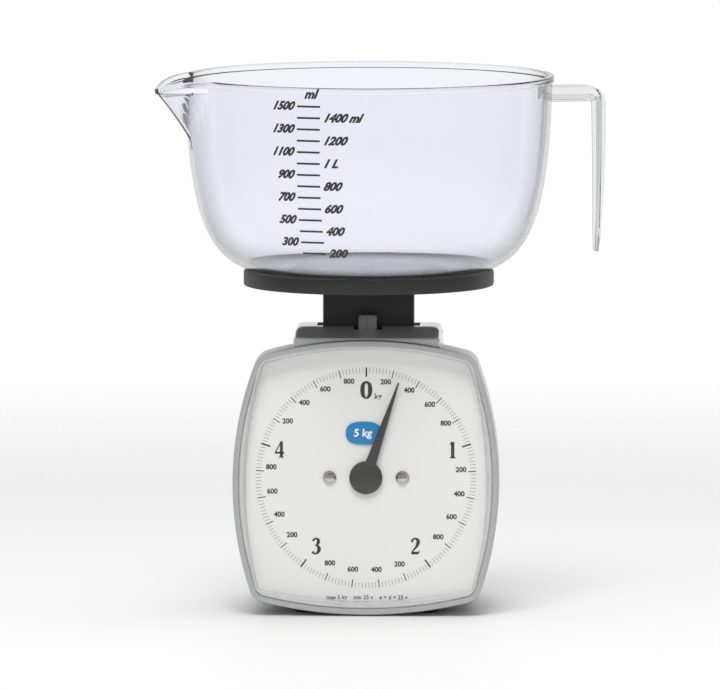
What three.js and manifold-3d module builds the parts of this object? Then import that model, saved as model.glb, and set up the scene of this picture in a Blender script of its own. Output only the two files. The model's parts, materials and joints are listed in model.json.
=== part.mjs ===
// Mechanical kitchen scale: a round platform on a flat neck, a dial on a leaning front,
// and a lift-off measuring bowl with a pouring spout and an open strap handle.
// Millimetres, +Z up, the dial faces -Y. Everything is built about the platform's axis, and the
// whole assembly is then moved along X so that the origin is under the middle of its footprint.
import * as THREE from 'three';
import { mergeVertices } from 'three/addons/utils/BufferGeometryUtils.js';
import Module from 'manifold-3d';

const wasm = await Module();
wasm.setup();

// ---- Driving dimensions ----------------------------------------------------------------------

const GAP = 0.3; // clearance between pieces that touch or slide
const FIT = 0.3; // radial clearance round pins, shafts and screws
const PIN_SIDES = 16;
const SCREW_SIDES = 12;

// Front face, measured in its own leaning plane from the dial's centre
const FACE_TILT = 6; // degrees the front leans back
const HUB_HEIGHT = 62.5;
const FACE_HALF_WIDTH = 60.4;
const FACE_RISE = 62.2;
const FACE_DROP = 62.2;
const FACE_SIDE_RADIUS = 146;
const FACE_TOP_RADIUS = 168;
const FACE_BOTTOM_RADIUS = 200;
const FACE_CORNER = 7.5;
const FACE_BULGE_LEVEL = -2.5; // where the side arcs are widest

// Housing
const BODY_DEPTH = 98;
const WALL = 2.6;
const SKIRT_DEPTH = 8; // straight part of the lip behind the front edge
const LIP_ROUND = 0.8;
const SKIRT_RISE = 1.2; // the lip's underside behind the front edge
const BASE_LIFT = 3; // housing floor above the table
const REAR_NARROWING = 9;
const REAR_FALL = 13;
const BACK_ROUND = 5;

// Bezel, window and dial
const LIP_GROOVE = 0.5;
const BEZEL_LAND = 0.8;
const BEZEL_CHAMFER = 0.35;
const WINDOW_SEAT = 0.8;
const WINDOW_THICKNESS = 1.2;
const WINDOW_DEPTH = 1.1;
const BEZEL_SLOPE_WIDTH = 0.8;
const DIAL_DEPTH = 6.5;
const DIAL_THICKNESS = 1;
const BADGE_WIDTH = 16.4;
const BADGE_HEIGHT = 10.5;
const BADGE_CORNER = 3.2;
const BADGE_THICKNESS = 0.6;
const BADGE_LEVEL = 20.2;
const DIAL_SCREW_SPREAD = 16.5;
const DIAL_SCREW_HEAD = 3;
const DIAL_SCREW_DOME = 1.8; // height of the head

// Pointer and its shaft
const POINTER_LENGTH = 45.5;
const POINTER_ROOT_WIDTH = 5.6;
const POINTER_TIP_WIDTH = 0.7;
const POINTER_THICKNESS = 0.7;
const POINTER_CLEARANCE = 0.35; // between the blade and the dial screws it passes over
const HUB_RADIUS = 7.5;
const HUB_HEIGHT_ON_DIAL = 3;
const SPINDLE_RADIUS = 1;
const BUSH_RADIUS = 2.6;
const PINION_TEETH = 8;
const GEAR_MODULE = 0.5;
const BACKLASH = 0.25; // how far the rack stands off the pinion
const PINION_WIDTH = 10;
const RACK_WIDTH = 5;
const RACK_DEPTH = 3.2;
const REST_ANGLE = 18.9; // degrees the bowl's own weight turns the pointer

// Platform and neck
const PLATFORM_RADIUS = 57;
const PLATFORM_THICKNESS = 7.1;
const PLATFORM_CLEARANCE = 18; // from the hood's crest to the platform
const PLATFORM_RIM = 2;
const DISH_DEPTH = 1.5;
const PLATFORM_SKIN = 2.4;
const PLATFORM_BOSS_RADIUS = 26.5;
const NECK_WIDTH = 41.4;
const NECK_THICKNESS = 10.6;
const NECK_CORNER = 1.2;
const SLOT_CLEARANCE = 2.7;

// Hood
const HOOD_HALF_WIDTH = 33.4;
const HOOD_FRONT = 30;
const HOOD_BACK = 24;
const HOOD_CORNER = 4.5;
const HOOD_CREST_HEIGHT = 4.2; // above the housing's top
const HOOD_WALL = 2.2;
const HOOD_LEDGE = 0.6;

// Zero adjustment
const TAB_WIDTH = 8.4;
const TAB_FRONT = 16.6; // from the platform axis
const TAB_HEIGHT = 9.6; // above the housing's top
const ZERO_TRAVEL = 2; // each way
const WEDGE_SLOPE = 0.2;

// Mechanism
const SHEET = 1.5; // thickness of the pressed steel
const CHASSIS_HALF_WIDTH = 25.5;
const PIN_RADIUS = 1.5;
const LINK_LENGTH = 39.5;
const LINK_PIVOT_Y = -26.2;
const PIVOT_EDGE = 3.908; // steel behind the lower pivot, measured square to the face
const LINK_HEIGHT = 6.5;
const LINK_ARM_X = 23; // outer face of the link's arms
const UPPER_LINK_LEVEL = 37.5; // above the dial's centre
const LOWER_LINK_LEVEL = -30.5;
const CARRIER_HALF_WIDTH = 19;
const CARRIER_DEPTH = 10;
const SPRING_SPREAD = 10;
const SPRING_Y = -12;
const SPRING_COIL_RADIUS = 3.4;
const SPRING_WIRE_RADIUS = 0.6;
const SPRING_TURNS = 12;
const SPRING_EYE = 1.8; // radius of the holes the hooks pass through

// Base
const BASE_HALF_WIDTH = 34;
const BASE_FRONT = 36;
const BASE_BACK = 34;
const BASE_THICKNESS = 2;
const FOOT_RADIUS = 6;
const FOOT_X = 27;
const FOOT_FRONT = 29;
const FOOT_BACK = 27;
const BASE_SCREW_X = 29;
const BASE_SCREW_Y = 16;
const SCREW_RADIUS = 1.2;
const SCREW_HEAD = 2.6;
const SCREW_HEAD_HEIGHT = 1.6;
const BOSS_RADIUS = 3.5;

// Measuring bowl
const BOWL_WALL = 2;
const BOWL_HEIGHT = 90;
const BOWL_FLAT_SETBACK = 9.2; // how far inside the platform's rim the bowl's flat bottom ends
const BOWL_HEEL_RADIUS = 29.8;
const BOWL_HEEL_ANGLE = 43; // degrees of arc from the flat bottom
const BOWL_TOP_RADIUS = 83.6;
const RIM_WIDTH = 0.9;
const RIM_HEIGHT = 3.1;
const SPOUT_ANGLE = 193; // degrees from +X, turned a little towards the dial side
const SPOUT_HALF_ANGLE = 21;
const SPOUT_REACH = 14.6;
const SPOUT_DEPTH = 30;
const SPOUT_DROP = 5;
const HANDLE_ANGLE = 13;
const HANDLE_REACH = 108.6;
const HANDLE_WIDTH = 17;
const HANDLE_TIP_WIDTH = 5;
const HANDLE_THICKNESS = 3.4;
const HANDLE_ARM_THICKNESS = 5.6;
const HANDLE_LENGTH = 76;
const HANDLE_BEND = 8;

// ---- Values that follow from them ------------------------------------------------------------

const TILT = THREE.MathUtils.degToRad(FACE_TILT);
const HOUSING_TOP = HUB_HEIGHT + FACE_RISE * Math.cos(TILT);
const FRONT_Y = -BODY_DEPTH / 2 - 1 + FACE_DROP * Math.sin(TILT); // face plane at the hub
const BACK_Y = FRONT_Y - FACE_DROP * Math.sin(TILT) + BODY_DEPTH;
const PINION_PITCH_RADIUS = (PINION_TEETH * GEAR_MODULE) / 2;
const FULL_TRAVEL = (2 * Math.PI * PINION_PITCH_RADIUS) / Math.cos(TILT); // one turn of the pointer
const REST_TRAVEL = (FULL_TRAVEL * REST_ANGLE) / 360;

const BEZEL_OUTER = WALL + LIP_GROOVE; // insets from the housing's outline
const BEZEL_THROAT = BEZEL_OUTER + BEZEL_LAND + 2 * BEZEL_CHAMFER;
const BEZEL_SEAT = BEZEL_THROAT + WINDOW_SEAT;
const BEZEL_INNER = BEZEL_SEAT + BEZEL_SLOPE_WIDTH;
const CHASSIS_FACE = -(DIAL_DEPTH + DIAL_THICKNESS + GAP); // front of the chassis plate

const HOOD_CREST = HOUSING_TOP + HOOD_CREST_HEIGHT;
const PLATFORM_BASE = HOOD_CREST + PLATFORM_CLEARANCE;
const PLATFORM_TOP = PLATFORM_BASE + PLATFORM_THICKNESS;
const DISH_TOP = PLATFORM_TOP - DISH_DEPTH;
const PLATFORM_BOSS_BASE = PLATFORM_BASE + 0.5;
const NECK_TOP = PLATFORM_BOSS_BASE - GAP;
const CARRIER_TOP = HUB_HEIGHT + 50.2;
const NECK_BASE = CARRIER_TOP + GAP;
const SLOT_HALF_WIDTH = NECK_WIDTH / 2 + SLOT_CLEARANCE;
const SLOT_HALF_DEPTH = NECK_THICKNESS / 2 + SLOT_CLEARANCE;
const NOTCH_HALF_WIDTH = TAB_WIDTH / 2 + ZERO_TRAVEL + 0.2;
const NOTCH_FRONT = -TAB_FRONT - GAP;

const LINK_REST_ANGLE = Math.asin((FULL_TRAVEL / 2 - REST_TRAVEL) / LINK_LENGTH);
const LINK_END_SHORTENING = LINK_LENGTH * (1 - Math.cos(Math.asin(FULL_TRAVEL / 2 / LINK_LENGTH)));
const CARRIER_PIN_Y = LINK_PIVOT_Y + LINK_LENGTH - LINK_END_SHORTENING / 2;
const CARRIER_PIN_LIFT = LINK_LENGTH * Math.sin(LINK_REST_ANGLE);
const UPPER_PIN_Z = HUB_HEIGHT + UPPER_LINK_LEVEL;
const LOWER_PIN_Z = HUB_HEIGHT + LOWER_LINK_LEVEL;

const SHELF_TOP = CARRIER_TOP + GAP; // the chassis shelf that the zero wedge slides on
const WEDGE_BASE = SHELF_TOP + GAP;
const WEDGE_MID = WEDGE_BASE + 2.9;
const HANGER_HOLE = HUB_HEIGHT + 33.5;
const CARRIER_HOLE = HUB_HEIGHT - 26.5;
const RACK_ARM_TOP = HUB_HEIGHT + 25.5;
const RACK_ARM_HEIGHT = 4;

const BOWL_FLAT_RADIUS = PLATFORM_RADIUS - PLATFORM_RIM - BOWL_FLAT_SETBACK;
const BOWL_BASE = DISH_TOP + GAP;
const BOWL_TOP = BOWL_BASE + BOWL_HEIGHT;

// ---- Finishes --------------------------------------------------------------------------------

const finish = (color, roughness, metalness, opacity = 1) =>
  new THREE.MeshStandardMaterial({ color, roughness, metalness, opacity, transparent: opacity < 1 });

const silver = finish(0xb4b6b8, 0.35, 0.4);
const darkPlastic = finish(0x3a3a3c, 0.4, 0);
const greyPlastic = finish(0x6c6c6e, 0.45, 0);
const clear = finish(0xdfe6f6, 0.05, 0, 0.35);
const card = finish(0xecece8, 0.6, 0);
const pointerBlack = finish(0x4a4a48, 0.4, 0);
const badgeBlue = finish(0x1c78b8, 0.35, 0);
const steel = finish(0xa6a8ab, 0.4, 0.9);
const springSteel = finish(0x8a8c90, 0.3, 0.9);
const chrome = finish(0xc8c8c8, 0.15, 1);
const brass = finish(0xb99a4b, 0.3, 0.9);
const rubber = finish(0x2b2b2c, 0.9, 0);

// ---- Building solids -------------------------------------------------------------------------

// A geometry's positions alone, with shared vertices merged, as a solid.
function solid(geometry) {
  const bare = geometry.clone();
  bare.deleteAttribute('normal');
  bare.deleteAttribute('uv');
  const merged = mergeVertices(bare, 1e-4);
  return new wasm.Manifold(new wasm.Mesh({
    numProp: 3,
    vertProperties: Float32Array.from(merged.attributes.position.array),
    triVerts: Uint32Array.from(merged.index.array),
  }));
}

function toGeometry(body) {
  const mesh = body.getMesh();
  const geometry = new THREE.BufferGeometry();
  geometry.setAttribute('position', new THREE.Float32BufferAttribute(mesh.vertProperties, 3));
  geometry.setIndex(Array.from(mesh.triVerts));
  geometry.computeVertexNormals();
  return geometry;
}

function piece(name, body, material) {
  const mesh = new THREE.Mesh(toGeometry(body), material);
  mesh.name = name;
  return mesh;
}

const join = (bodies) => bodies.reduce((sum, body) => sum.add(body));
const cut = (body, tools) => tools.reduce((rest, tool) => rest.subtract(tool), body);

// A box between two corners.
function block(low, high) {
  const [x, y, z] = low.map((value, axis) => high[axis] - value);
  const geometry = new THREE.BoxGeometry(x, y, z);
  geometry.translate((low[0] + high[0]) / 2, (low[1] + high[1]) / 2, (low[2] + high[2]) / 2);
  return solid(geometry);
}

// A cylinder along an axis ('x', 'y' or 'z') from one coordinate to another.
function rod(axis, radius, from, to, [a, b], sides = PIN_SIDES) {
  const geometry = new THREE.CylinderGeometry(radius, radius, to - from, sides);
  const middle = (from + to) / 2;
  if (axis === 'x') {
    geometry.rotateZ(Math.PI / 2);
    geometry.translate(middle, a, b);
  } else if (axis === 'y') {
    geometry.translate(a, middle, b);
  } else {
    geometry.rotateX(Math.PI / 2);
    geometry.translate(a, b, middle);
  }
  return solid(geometry);
}

// A turned piece: [radius, height] points round the Z axis, from axis to axis or closed.
function turned(points, [x, y] = [0, 0], segments = 40) {
  const geometry = new THREE.LatheGeometry(points.map(([r, z]) => new THREE.Vector2(r, z)), segments);
  geometry.rotateX(Math.PI / 2);
  geometry.translate(x, y, 0);
  return upright(solid(geometry));
}

// An outline in the XY plane raised from one height to another.
function raised(points, from, to) {
  const shape = new THREE.Shape(points.map(([x, y]) => new THREE.Vector2(x, y)));
  const geometry = new THREE.ExtrudeGeometry(shape, { depth: to - from, bevelEnabled: false });
  geometry.translate(0, 0, from);
  return solid(geometry);
}

// An outline in the YZ plane, carried along X.
function sidePlate(points, from, to) {
  const shape = new THREE.Shape(points.map(([y, z]) => new THREE.Vector2(y, z)));
  const geometry = new THREE.ExtrudeGeometry(shape, { depth: to - from, bevelEnabled: false });
  geometry.applyMatrix4(new THREE.Matrix4().set(0, 0, 1, from, 1, 0, 0, 0, 0, 1, 0, 0, 0, 0, 0, 1));
  return solid(geometry);
}

// Turns a solid the right way out when its faces came out reversed.
function upright(body) {
  if (body.volume() >= 0) return body;
  const mesh = body.getMesh();
  const flipped = mesh.triVerts.slice();
  for (let i = 0; i < flipped.length; i += 3) {
    [flipped[i + 1], flipped[i + 2]] = [flipped[i + 2], flipped[i + 1]];
  }
  return new wasm.Manifold(new wasm.Mesh({
    numProp: 3,
    vertProperties: mesh.vertProperties,
    triVerts: flipped,
  }));
}

// A skin through rings of equally many points, either capped at both ends or closed on itself.
function loft(rings, closed = false) {
  const count = rings[0].length;
  const positions = rings.flat().flatMap((point) => [point.x, point.y, point.z]);
  const indices = [];
  const spans = closed ? rings.length : rings.length - 1;
  for (let r = 0; r < spans; r += 1) {
    const next = (r + 1) % rings.length;
    for (let i = 0; i < count; i += 1) {
      const j = (i + 1) % count;
      const [a, b, c, d] = [r * count + i, r * count + j, next * count + j, next * count + i];
      indices.push(a, b, c, a, c, d);
    }
  }
  if (!closed) {
    const cap = (ring, base, reversed) => {
      const middle = ring.reduce((sum, p) => sum.add(p), new THREE.Vector3()).divideScalar(count);
      const centre = positions.length / 3;
      positions.push(middle.x, middle.y, middle.z);
      for (let i = 0; i < count; i += 1) {
        const j = (i + 1) % count;
        indices.push(centre, ...(reversed ? [base + j, base + i] : [base + i, base + j]));
      }
    };
    cap(rings[0], 0, true);
    cap(rings[rings.length - 1], (rings.length - 1) * count, false);
  }
  const geometry = new THREE.BufferGeometry();
  geometry.setAttribute('position', new THREE.Float32BufferAttribute(positions, 3));
  geometry.setIndex(indices);
  const body = new wasm.Manifold(new wasm.Mesh({
    numProp: 3,
    vertProperties: Float32Array.from(positions),
    triVerts: Uint32Array.from(indices),
  }));
  return upright(body);
}

// A rectangle with rounded corners, counterclockwise from its lower right.
function roundedRectangle(left, right, low, high, radius, steps = 4) {
  const corners = [[right, low, -90], [right, high, 0], [left, high, 90], [left, low, 180]];
  return corners.flatMap(([x, y, start]) => Array.from({ length: steps + 1 }, (_, i) => {
    const angle = THREE.MathUtils.degToRad(start + (90 * i) / steps);
    const cx = x - Math.sign(x - (left + right) / 2) * radius;
    const cy = y - Math.sign(y - (low + high) / 2) * radius;
    return [cx + radius * Math.cos(angle), cy + radius * Math.sin(angle)];
  }));
}

// ---- The leaning front -----------------------------------------------------------------------

const FACE = {
  halfWidth: FACE_HALF_WIDTH,
  rise: FACE_RISE,
  drop: FACE_DROP,
  bottomRadius: FACE_BOTTOM_RADIUS,
};

// The crossing of two circles that lies furthest out towards (sx, sy).
function outerCrossing(c1, r1, c2, r2, sx, sy) {
  const gap = c2.clone().sub(c1);
  const distance = gap.length();
  const along = (distance ** 2 + r1 ** 2 - r2 ** 2) / (2 * distance);
  const across = Math.sqrt(r1 ** 2 - along ** 2);
  const direction = gap.normalize();
  const foot = c1.clone().addScaledVector(direction, along);
  const normal = new THREE.Vector2(-direction.y, direction.x);
  const found = [across, -across].map((t) => foot.clone().addScaledVector(normal, t));
  return found.sort((a, b) => b.x * sx + b.y * sy - (a.x * sx + a.y * sy))[0];
}

// Four bulging sides joined by corner rounds, moved inwards by inset. Counterclockwise.
function bulgedOutline({ halfWidth, rise, drop, bottomRadius }, inset) {
  const sides = [
    { centre: new THREE.Vector2(halfWidth - FACE_SIDE_RADIUS, FACE_BULGE_LEVEL), radius: FACE_SIDE_RADIUS },
    { centre: new THREE.Vector2(0, rise - FACE_TOP_RADIUS), radius: FACE_TOP_RADIUS },
    { centre: new THREE.Vector2(FACE_SIDE_RADIUS - halfWidth, FACE_BULGE_LEVEL), radius: FACE_SIDE_RADIUS },
    { centre: new THREE.Vector2(0, bottomRadius - drop), radius: bottomRadius },
  ];
  const quadrants = [[1, 1], [-1, 1], [-1, -1], [1, -1]];
  const corners = sides.map((side, i) => {
    const next = sides[(i + 1) % 4];
    const [sx, sy] = quadrants[i];
    return outerCrossing(side.centre, side.radius - FACE_CORNER, next.centre,
      next.radius - FACE_CORNER, sx, sy);
  });
  const angleTo = (from, to) => Math.atan2(to.y - from.y, to.x - from.x);
  const points = [];
  const arc = (centre, radius, start, end, steps) => {
    let sweep = end - start;
    while (sweep < 0) sweep += 2 * Math.PI;
    for (let k = 0; k < steps; k += 1) {
      const angle = start + (sweep * k) / steps;
      points.push(new THREE.Vector2(centre.x + radius * Math.cos(angle), centre.y + radius * Math.sin(angle)));
    }
  };
  sides.forEach((side, i) => {
    const before = corners[(i + 3) % 4];
    const after = corners[i];
    const next = sides[(i + 1) % 4];
    arc(side.centre, side.radius - inset, angleTo(side.centre, before), angleTo(side.centre, after), 7);
    arc(after, FACE_CORNER - inset, angleTo(side.centre, after), angleTo(next.centre, after), 3);
  });
  return points;
}

// Face plane coordinates (across, up the face, out of the face) to the assembly's own.
const faceMatrix = new THREE.Matrix4()
  .makeTranslation(0, FRONT_Y, HUB_HEIGHT)
  .multiply(new THREE.Matrix4().makeRotationX(Math.PI / 2 - TILT));

const onFace = (body) => body.transform(faceMatrix.elements);

// A section of the housing: its outline on a plane that leans by tilt at depth y.
function section(shape, inset, y, tilt, lift = 0) {
  return bulgedOutline(shape, inset).map((p) => new THREE.Vector3(
    p.x,
    y + p.y * Math.sin(tilt),
    HUB_HEIGHT + lift + p.y * Math.cos(tilt),
  ));
}

const faceSection = (inset, out) =>
  section(FACE, inset, FRONT_Y - out * Math.cos(TILT), TILT, out * Math.sin(TILT));

// The back of the lip, drawn up underneath so that it clears the table.
function skirtEnd(inset) {
  const shape = { ...FACE, drop: FACE_DROP - SKIRT_RISE };
  return section(shape, inset, FRONT_Y + SKIRT_DEPTH * Math.cos(TILT), TILT, -SKIRT_DEPTH * Math.sin(TILT));
}

// The housing's form from the front lip to the rounded back, moved inwards by inset.
function housingForm(inset, isCavity) {
  const rings = isCavity
    ? [faceSection(inset, 3), faceSection(inset, -SKIRT_DEPTH)]
    : [faceSection(inset + LIP_ROUND, 0), faceSection(inset, -LIP_ROUND), skirtEnd(inset)];
  const start = FRONT_Y + SKIRT_DEPTH + 6;
  const end = BACK_Y - BACK_ROUND;
  const stations = 4;
  const rearShape = (f) => ({
    halfWidth: FACE_HALF_WIDTH - REAR_NARROWING * f * f,
    rise: FACE_RISE - REAR_FALL * f * f,
    drop: HUB_HEIGHT - BASE_LIFT,
    bottomRadius: 1500,
  });
  for (let i = 0; i <= stations; i += 1) {
    const f = i / stations;
    rings.push(section(rearShape(f), inset, start + (end - start) * f, TILT * (1 - f)));
  }
  const round = BACK_ROUND - inset;
  [35, 65, 85].forEach((degrees) => {
    const angle = THREE.MathUtils.degToRad(degrees);
    const inwards = inset + round * (1 - Math.cos(angle));
    rings.push(section(rearShape(1), inwards, end + round * Math.sin(angle), 0));
  });
  return loft(rings);
}

// ---- Housing, hood and base ------------------------------------------------------------------

const baseScrewPlaces = [[-BASE_SCREW_X, -BASE_SCREW_Y], [BASE_SCREW_X, -BASE_SCREW_Y],
  [-BASE_SCREW_X, BASE_SCREW_Y], [BASE_SCREW_X, BASE_SCREW_Y]];
const hoodScrewPlaces = [[-HOOD_HALF_WIDTH + 5.5, -2], [HOOD_HALF_WIDTH - 5.5, -2]];
const HOOD_SCREW_HEAD_TOP = HOUSING_TOP - 7.4;
const baseTop = BASE_LIFT + BASE_THICKNESS;

// The opening that the neck and the zero tab pass through, as one tool.
function neckSlot(low, high) {
  return join([
    block([-SLOT_HALF_WIDTH, -SLOT_HALF_DEPTH, low], [SLOT_HALF_WIDTH, SLOT_HALF_DEPTH, high]),
    block([-NOTCH_HALF_WIDTH, NOTCH_FRONT, low], [NOTCH_HALF_WIDTH, 0, high]),
  ]);
}

function rearHousing() {
  const outside = housingForm(0, false);
  const bosses = baseScrewPlaces.map(([x, y]) => join([
    rod('z', BOSS_RADIUS, baseTop + GAP, baseTop + 12, [x, y]),
    block([Math.min(x, Math.sign(x) * 60), y - 1, baseTop + GAP + 2],
      [Math.max(x, Math.sign(x) * 60), y + 1, baseTop + 11]),
  ]));
  const floorOpening = block([-BASE_HALF_WIDTH - GAP, -BASE_FRONT - GAP, -5],
    [BASE_HALF_WIDTH + GAP, BASE_BACK + GAP, BASE_LIFT + WALL + 2]);
  const shell = cut(outside, [housingForm(WALL, true), floorOpening])
    .add(join(bosses).intersect(outside));
  const screwHoles = baseScrewPlaces.map(([x, y]) =>
    rod('z', SCREW_RADIUS + FIT, 0, baseTop + 9.5, [x, y], SCREW_SIDES));
  const hoodScrewHoles = hoodScrewPlaces.map(([x, y]) =>
    rod('z', SCREW_RADIUS + FIT, HOUSING_TOP - 20, HOUSING_TOP + 5, [x, y], SCREW_SIDES));
  const body = cut(shell, [neckSlot(HOUSING_TOP - 20, HOUSING_TOP + 5), ...screwHoles, ...hoodScrewHoles]);
  return piece('rear_housing', body, silver);
}

// The hood's form: a straight band up to the ledge, then a low dome with a level crest.
function hoodForm(inset) {
  const ring = (z, side, front, back) => roundedRectangle(-side + inset, side - inset,
    -front + inset, back - inset, HOOD_CORNER - inset).map(([x, y]) => new THREE.Vector3(x, y, z - inset));
  const rise = HOOD_CREST_HEIGHT;
  return loft([
    ring(HOUSING_TOP - 16, HOOD_HALF_WIDTH, HOOD_FRONT, HOOD_BACK),
    ring(HOUSING_TOP, HOOD_HALF_WIDTH, HOOD_FRONT, HOOD_BACK),
    ring(HOUSING_TOP + 0.1, HOOD_HALF_WIDTH - HOOD_LEDGE, HOOD_FRONT - HOOD_LEDGE, HOOD_BACK - HOOD_LEDGE),
    ring(HOUSING_TOP + rise * 0.1, HOOD_HALF_WIDTH - HOOD_LEDGE, HOOD_FRONT - HOOD_LEDGE,
      HOOD_BACK - HOOD_LEDGE),
    ring(HOUSING_TOP + rise * 0.68, HOOD_HALF_WIDTH - 1.4, HOOD_FRONT / 2, HOOD_BACK / 2 + 2),
    ring(HOUSING_TOP + rise * 0.93, HOOD_HALF_WIDTH - 2.4, SLOT_HALF_DEPTH + 2, SLOT_HALF_DEPTH + 2),
    ring(HOUSING_TOP + rise, HOOD_HALF_WIDTH - 3.7, SLOT_HALF_DEPTH + 0.8, SLOT_HALF_DEPTH + 0.8),
  ]);
}

function hood() {
  const outside = hoodForm(0);
  const bosses = hoodScrewPlaces.map(([x, y]) =>
    rod('z', BOSS_RADIUS, HOUSING_TOP - 8, HOOD_CREST, [x, y]).intersect(outside));
  const shell = cut(outside, [hoodForm(HOOD_WALL)]).add(join(bosses));
  const screwHoles = hoodScrewPlaces.map(([x, y]) =>
    rod('z', SCREW_RADIUS + FIT, HOUSING_TOP - 20, HOUSING_TOP + 1.4, [x, y], SCREW_SIDES));
  const body = cut(shell, [housingForm(-GAP, false), neckSlot(HOUSING_TOP - 20, HOOD_CREST + 5),
    block([-100, -100, 0], [100, 100, HOUSING_TOP - 12]), ...screwHoles]);
  return piece('hood', body, silver);
}

// A pan head screw whose head sits at z and whose shank points along direction (+1 or -1).
function panScrew(name, [x, y], z, length, direction, material = steel, radius = SCREW_RADIUS) {
  const head = [[0, 0], [radius, 0], [radius + 1.4, 0], [radius + 1.1, -1.1],
    [radius + 0.3, -SCREW_HEAD_HEIGHT], [0, -SCREW_HEAD_HEIGHT]];
  const shank = rod('z', radius, -0.2, length, [0, 0], SCREW_SIDES);
  const recess = join([
    block([-1.4, -0.3, -SCREW_HEAD_HEIGHT - 1], [1.4, 0.3, -SCREW_HEAD_HEIGHT + 0.7]),
    block([-0.3, -1.4, -SCREW_HEAD_HEIGHT - 1], [0.3, 1.4, -SCREW_HEAD_HEIGHT + 0.7]),
  ]);
  const body = cut(turned(head, [0, 0], SCREW_SIDES).add(shank), [recess]);
  const mesh = piece(name, body, material);
  mesh.position.set(x, y, z);
  if (direction < 0) mesh.rotation.x = Math.PI;
  return mesh;
}

const FEET = {
  foot_front_left: [-FOOT_X, -FOOT_FRONT],
  foot_front_right: [FOOT_X, -FOOT_FRONT],
  foot_rear_left: [-FOOT_X, FOOT_BACK],
  foot_rear_right: [FOOT_X, FOOT_BACK],
};
const FOOT_STEM = 2;
const chassisScrewPlaces = [[-14, -26], [14, -26]];
const CHASSIS_FLANGE = baseTop + 4.5; // underside of the chassis foot

function basePlate() {
  const plate = raised(roundedRectangle(-BASE_HALF_WIDTH, BASE_HALF_WIDTH, -BASE_FRONT, BASE_BACK, 4),
    BASE_LIFT, baseTop);
  const posts = chassisScrewPlaces.map(([x, y]) =>
    rod('z', BOSS_RADIUS, BASE_LIFT + 0.5, CHASSIS_FLANGE - GAP, [x, y]));
  const footHoles = Object.values(FEET).map((place) =>
    rod('z', FOOT_STEM + FIT, 0, baseTop + 2, place));
  const screwHoles = baseScrewPlaces.map((place) =>
    rod('z', SCREW_RADIUS + FIT, 0, baseTop + 2, place, SCREW_SIDES));
  const postHoles = chassisScrewPlaces.map((place) =>
    rod('z', SCREW_RADIUS + FIT, BASE_LIFT + 1, CHASSIS_FLANGE + 1, place, SCREW_SIDES));
  return piece('base_plate', cut(join([plate, ...posts]), [...footHoles, ...screwHoles, ...postHoles]),
    greyPlastic);
}

// A rubber foot pushed through the base plate and held by its barb.
function foot(name, place) {
  const under = BASE_LIFT - GAP;
  const over = baseTop + GAP;
  const body = turned([[0, 0], [FOOT_RADIUS - 1, 0], [FOOT_RADIUS - 0.3, 0.5], [FOOT_RADIUS, under],
    [FOOT_STEM, under], [FOOT_STEM, over], [FOOT_STEM + 0.9, over + 0.2], [FOOT_STEM - 0.5, over + 2.6],
    [0, over + 2.6]], place, PIN_SIDES);
  return piece(name, body, rubber);
}

// ---- Bezel, window and dial, in face coordinates ---------------------------------------------

function faceRing(profile) {
  const loops = profile.map(([inset]) => bulgedOutline(FACE, inset));
  return loft(loops[0].map((_, i) => profile.map(([, out], k) =>
    new THREE.Vector3(loops[k][i].x, loops[k][i].y, out))), true);
}

function facePlate(inset, from, to) {
  return raised(bulgedOutline(FACE, inset).map((p) => [p.x, p.y]), from, to);
}

function bezelRing() {
  const seat = -(WINDOW_DEPTH + WINDOW_THICKNESS + GAP);
  const foot = -(DIAL_DEPTH - GAP);
  return piece('bezel_ring', faceRing([
    [BEZEL_OUTER, -BEZEL_CHAMFER],
    [BEZEL_OUTER + BEZEL_CHAMFER, 0],
    [BEZEL_THROAT - BEZEL_CHAMFER, 0],
    [BEZEL_THROAT, -BEZEL_CHAMFER],
    [BEZEL_THROAT, seat],
    [BEZEL_SEAT, seat],
    [BEZEL_INNER, foot],
    [BEZEL_OUTER, foot],
  ]), silver);
}

function dialWindow() {
  const body = facePlate(BEZEL_THROAT + GAP, -(WINDOW_DEPTH + WINDOW_THICKNESS), -WINDOW_DEPTH);
  return piece('dial_window', body, clear);
}

const dialScrewPlaces = [[-DIAL_SCREW_SPREAD, 0], [DIAL_SCREW_SPREAD, 0]];

function dialPlate() {
  const plate = facePlate(WALL + GAP, -(DIAL_DEPTH + DIAL_THICKNESS), -DIAL_DEPTH);
  const holes = dialScrewPlaces.map((place) =>
    rod('z', SCREW_RADIUS + 0.3 + FIT, -DIAL_DEPTH - 3, 0, place));
  return piece('dial_plate', cut(plate, [rod('z', BUSH_RADIUS + FIT, -DIAL_DEPTH - 3, 0, [0, 0]), ...holes]),
    card);
}

function dialBadge() {
  const outline = roundedRectangle(-BADGE_WIDTH / 2, BADGE_WIDTH / 2, BADGE_LEVEL - BADGE_HEIGHT / 2,
    BADGE_LEVEL + BADGE_HEIGHT / 2, BADGE_CORNER, 5);
  return piece('dial_badge', raised(outline, -DIAL_DEPTH + GAP, -DIAL_DEPTH + GAP + BADGE_THICKNESS),
    badgeBlue);
}

// A domed screw that holds the dial on the chassis.
function dialScrew(name, [x, y]) {
  const seat = -DIAL_DEPTH + GAP;
  const radius = SCREW_RADIUS + 0.3;
  const body = turned([[0, CHASSIS_FACE - SHEET - 2.5], [radius, CHASSIS_FACE - SHEET - 2.5], [radius, seat],
    [DIAL_SCREW_HEAD, seat], [DIAL_SCREW_HEAD * 0.93, seat + DIAL_SCREW_DOME * 0.4],
    [DIAL_SCREW_HEAD * 0.65, seat + DIAL_SCREW_DOME * 0.8], [0, seat + DIAL_SCREW_DOME]], [x, y], 24);
  return piece(name, body, chrome);
}

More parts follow.
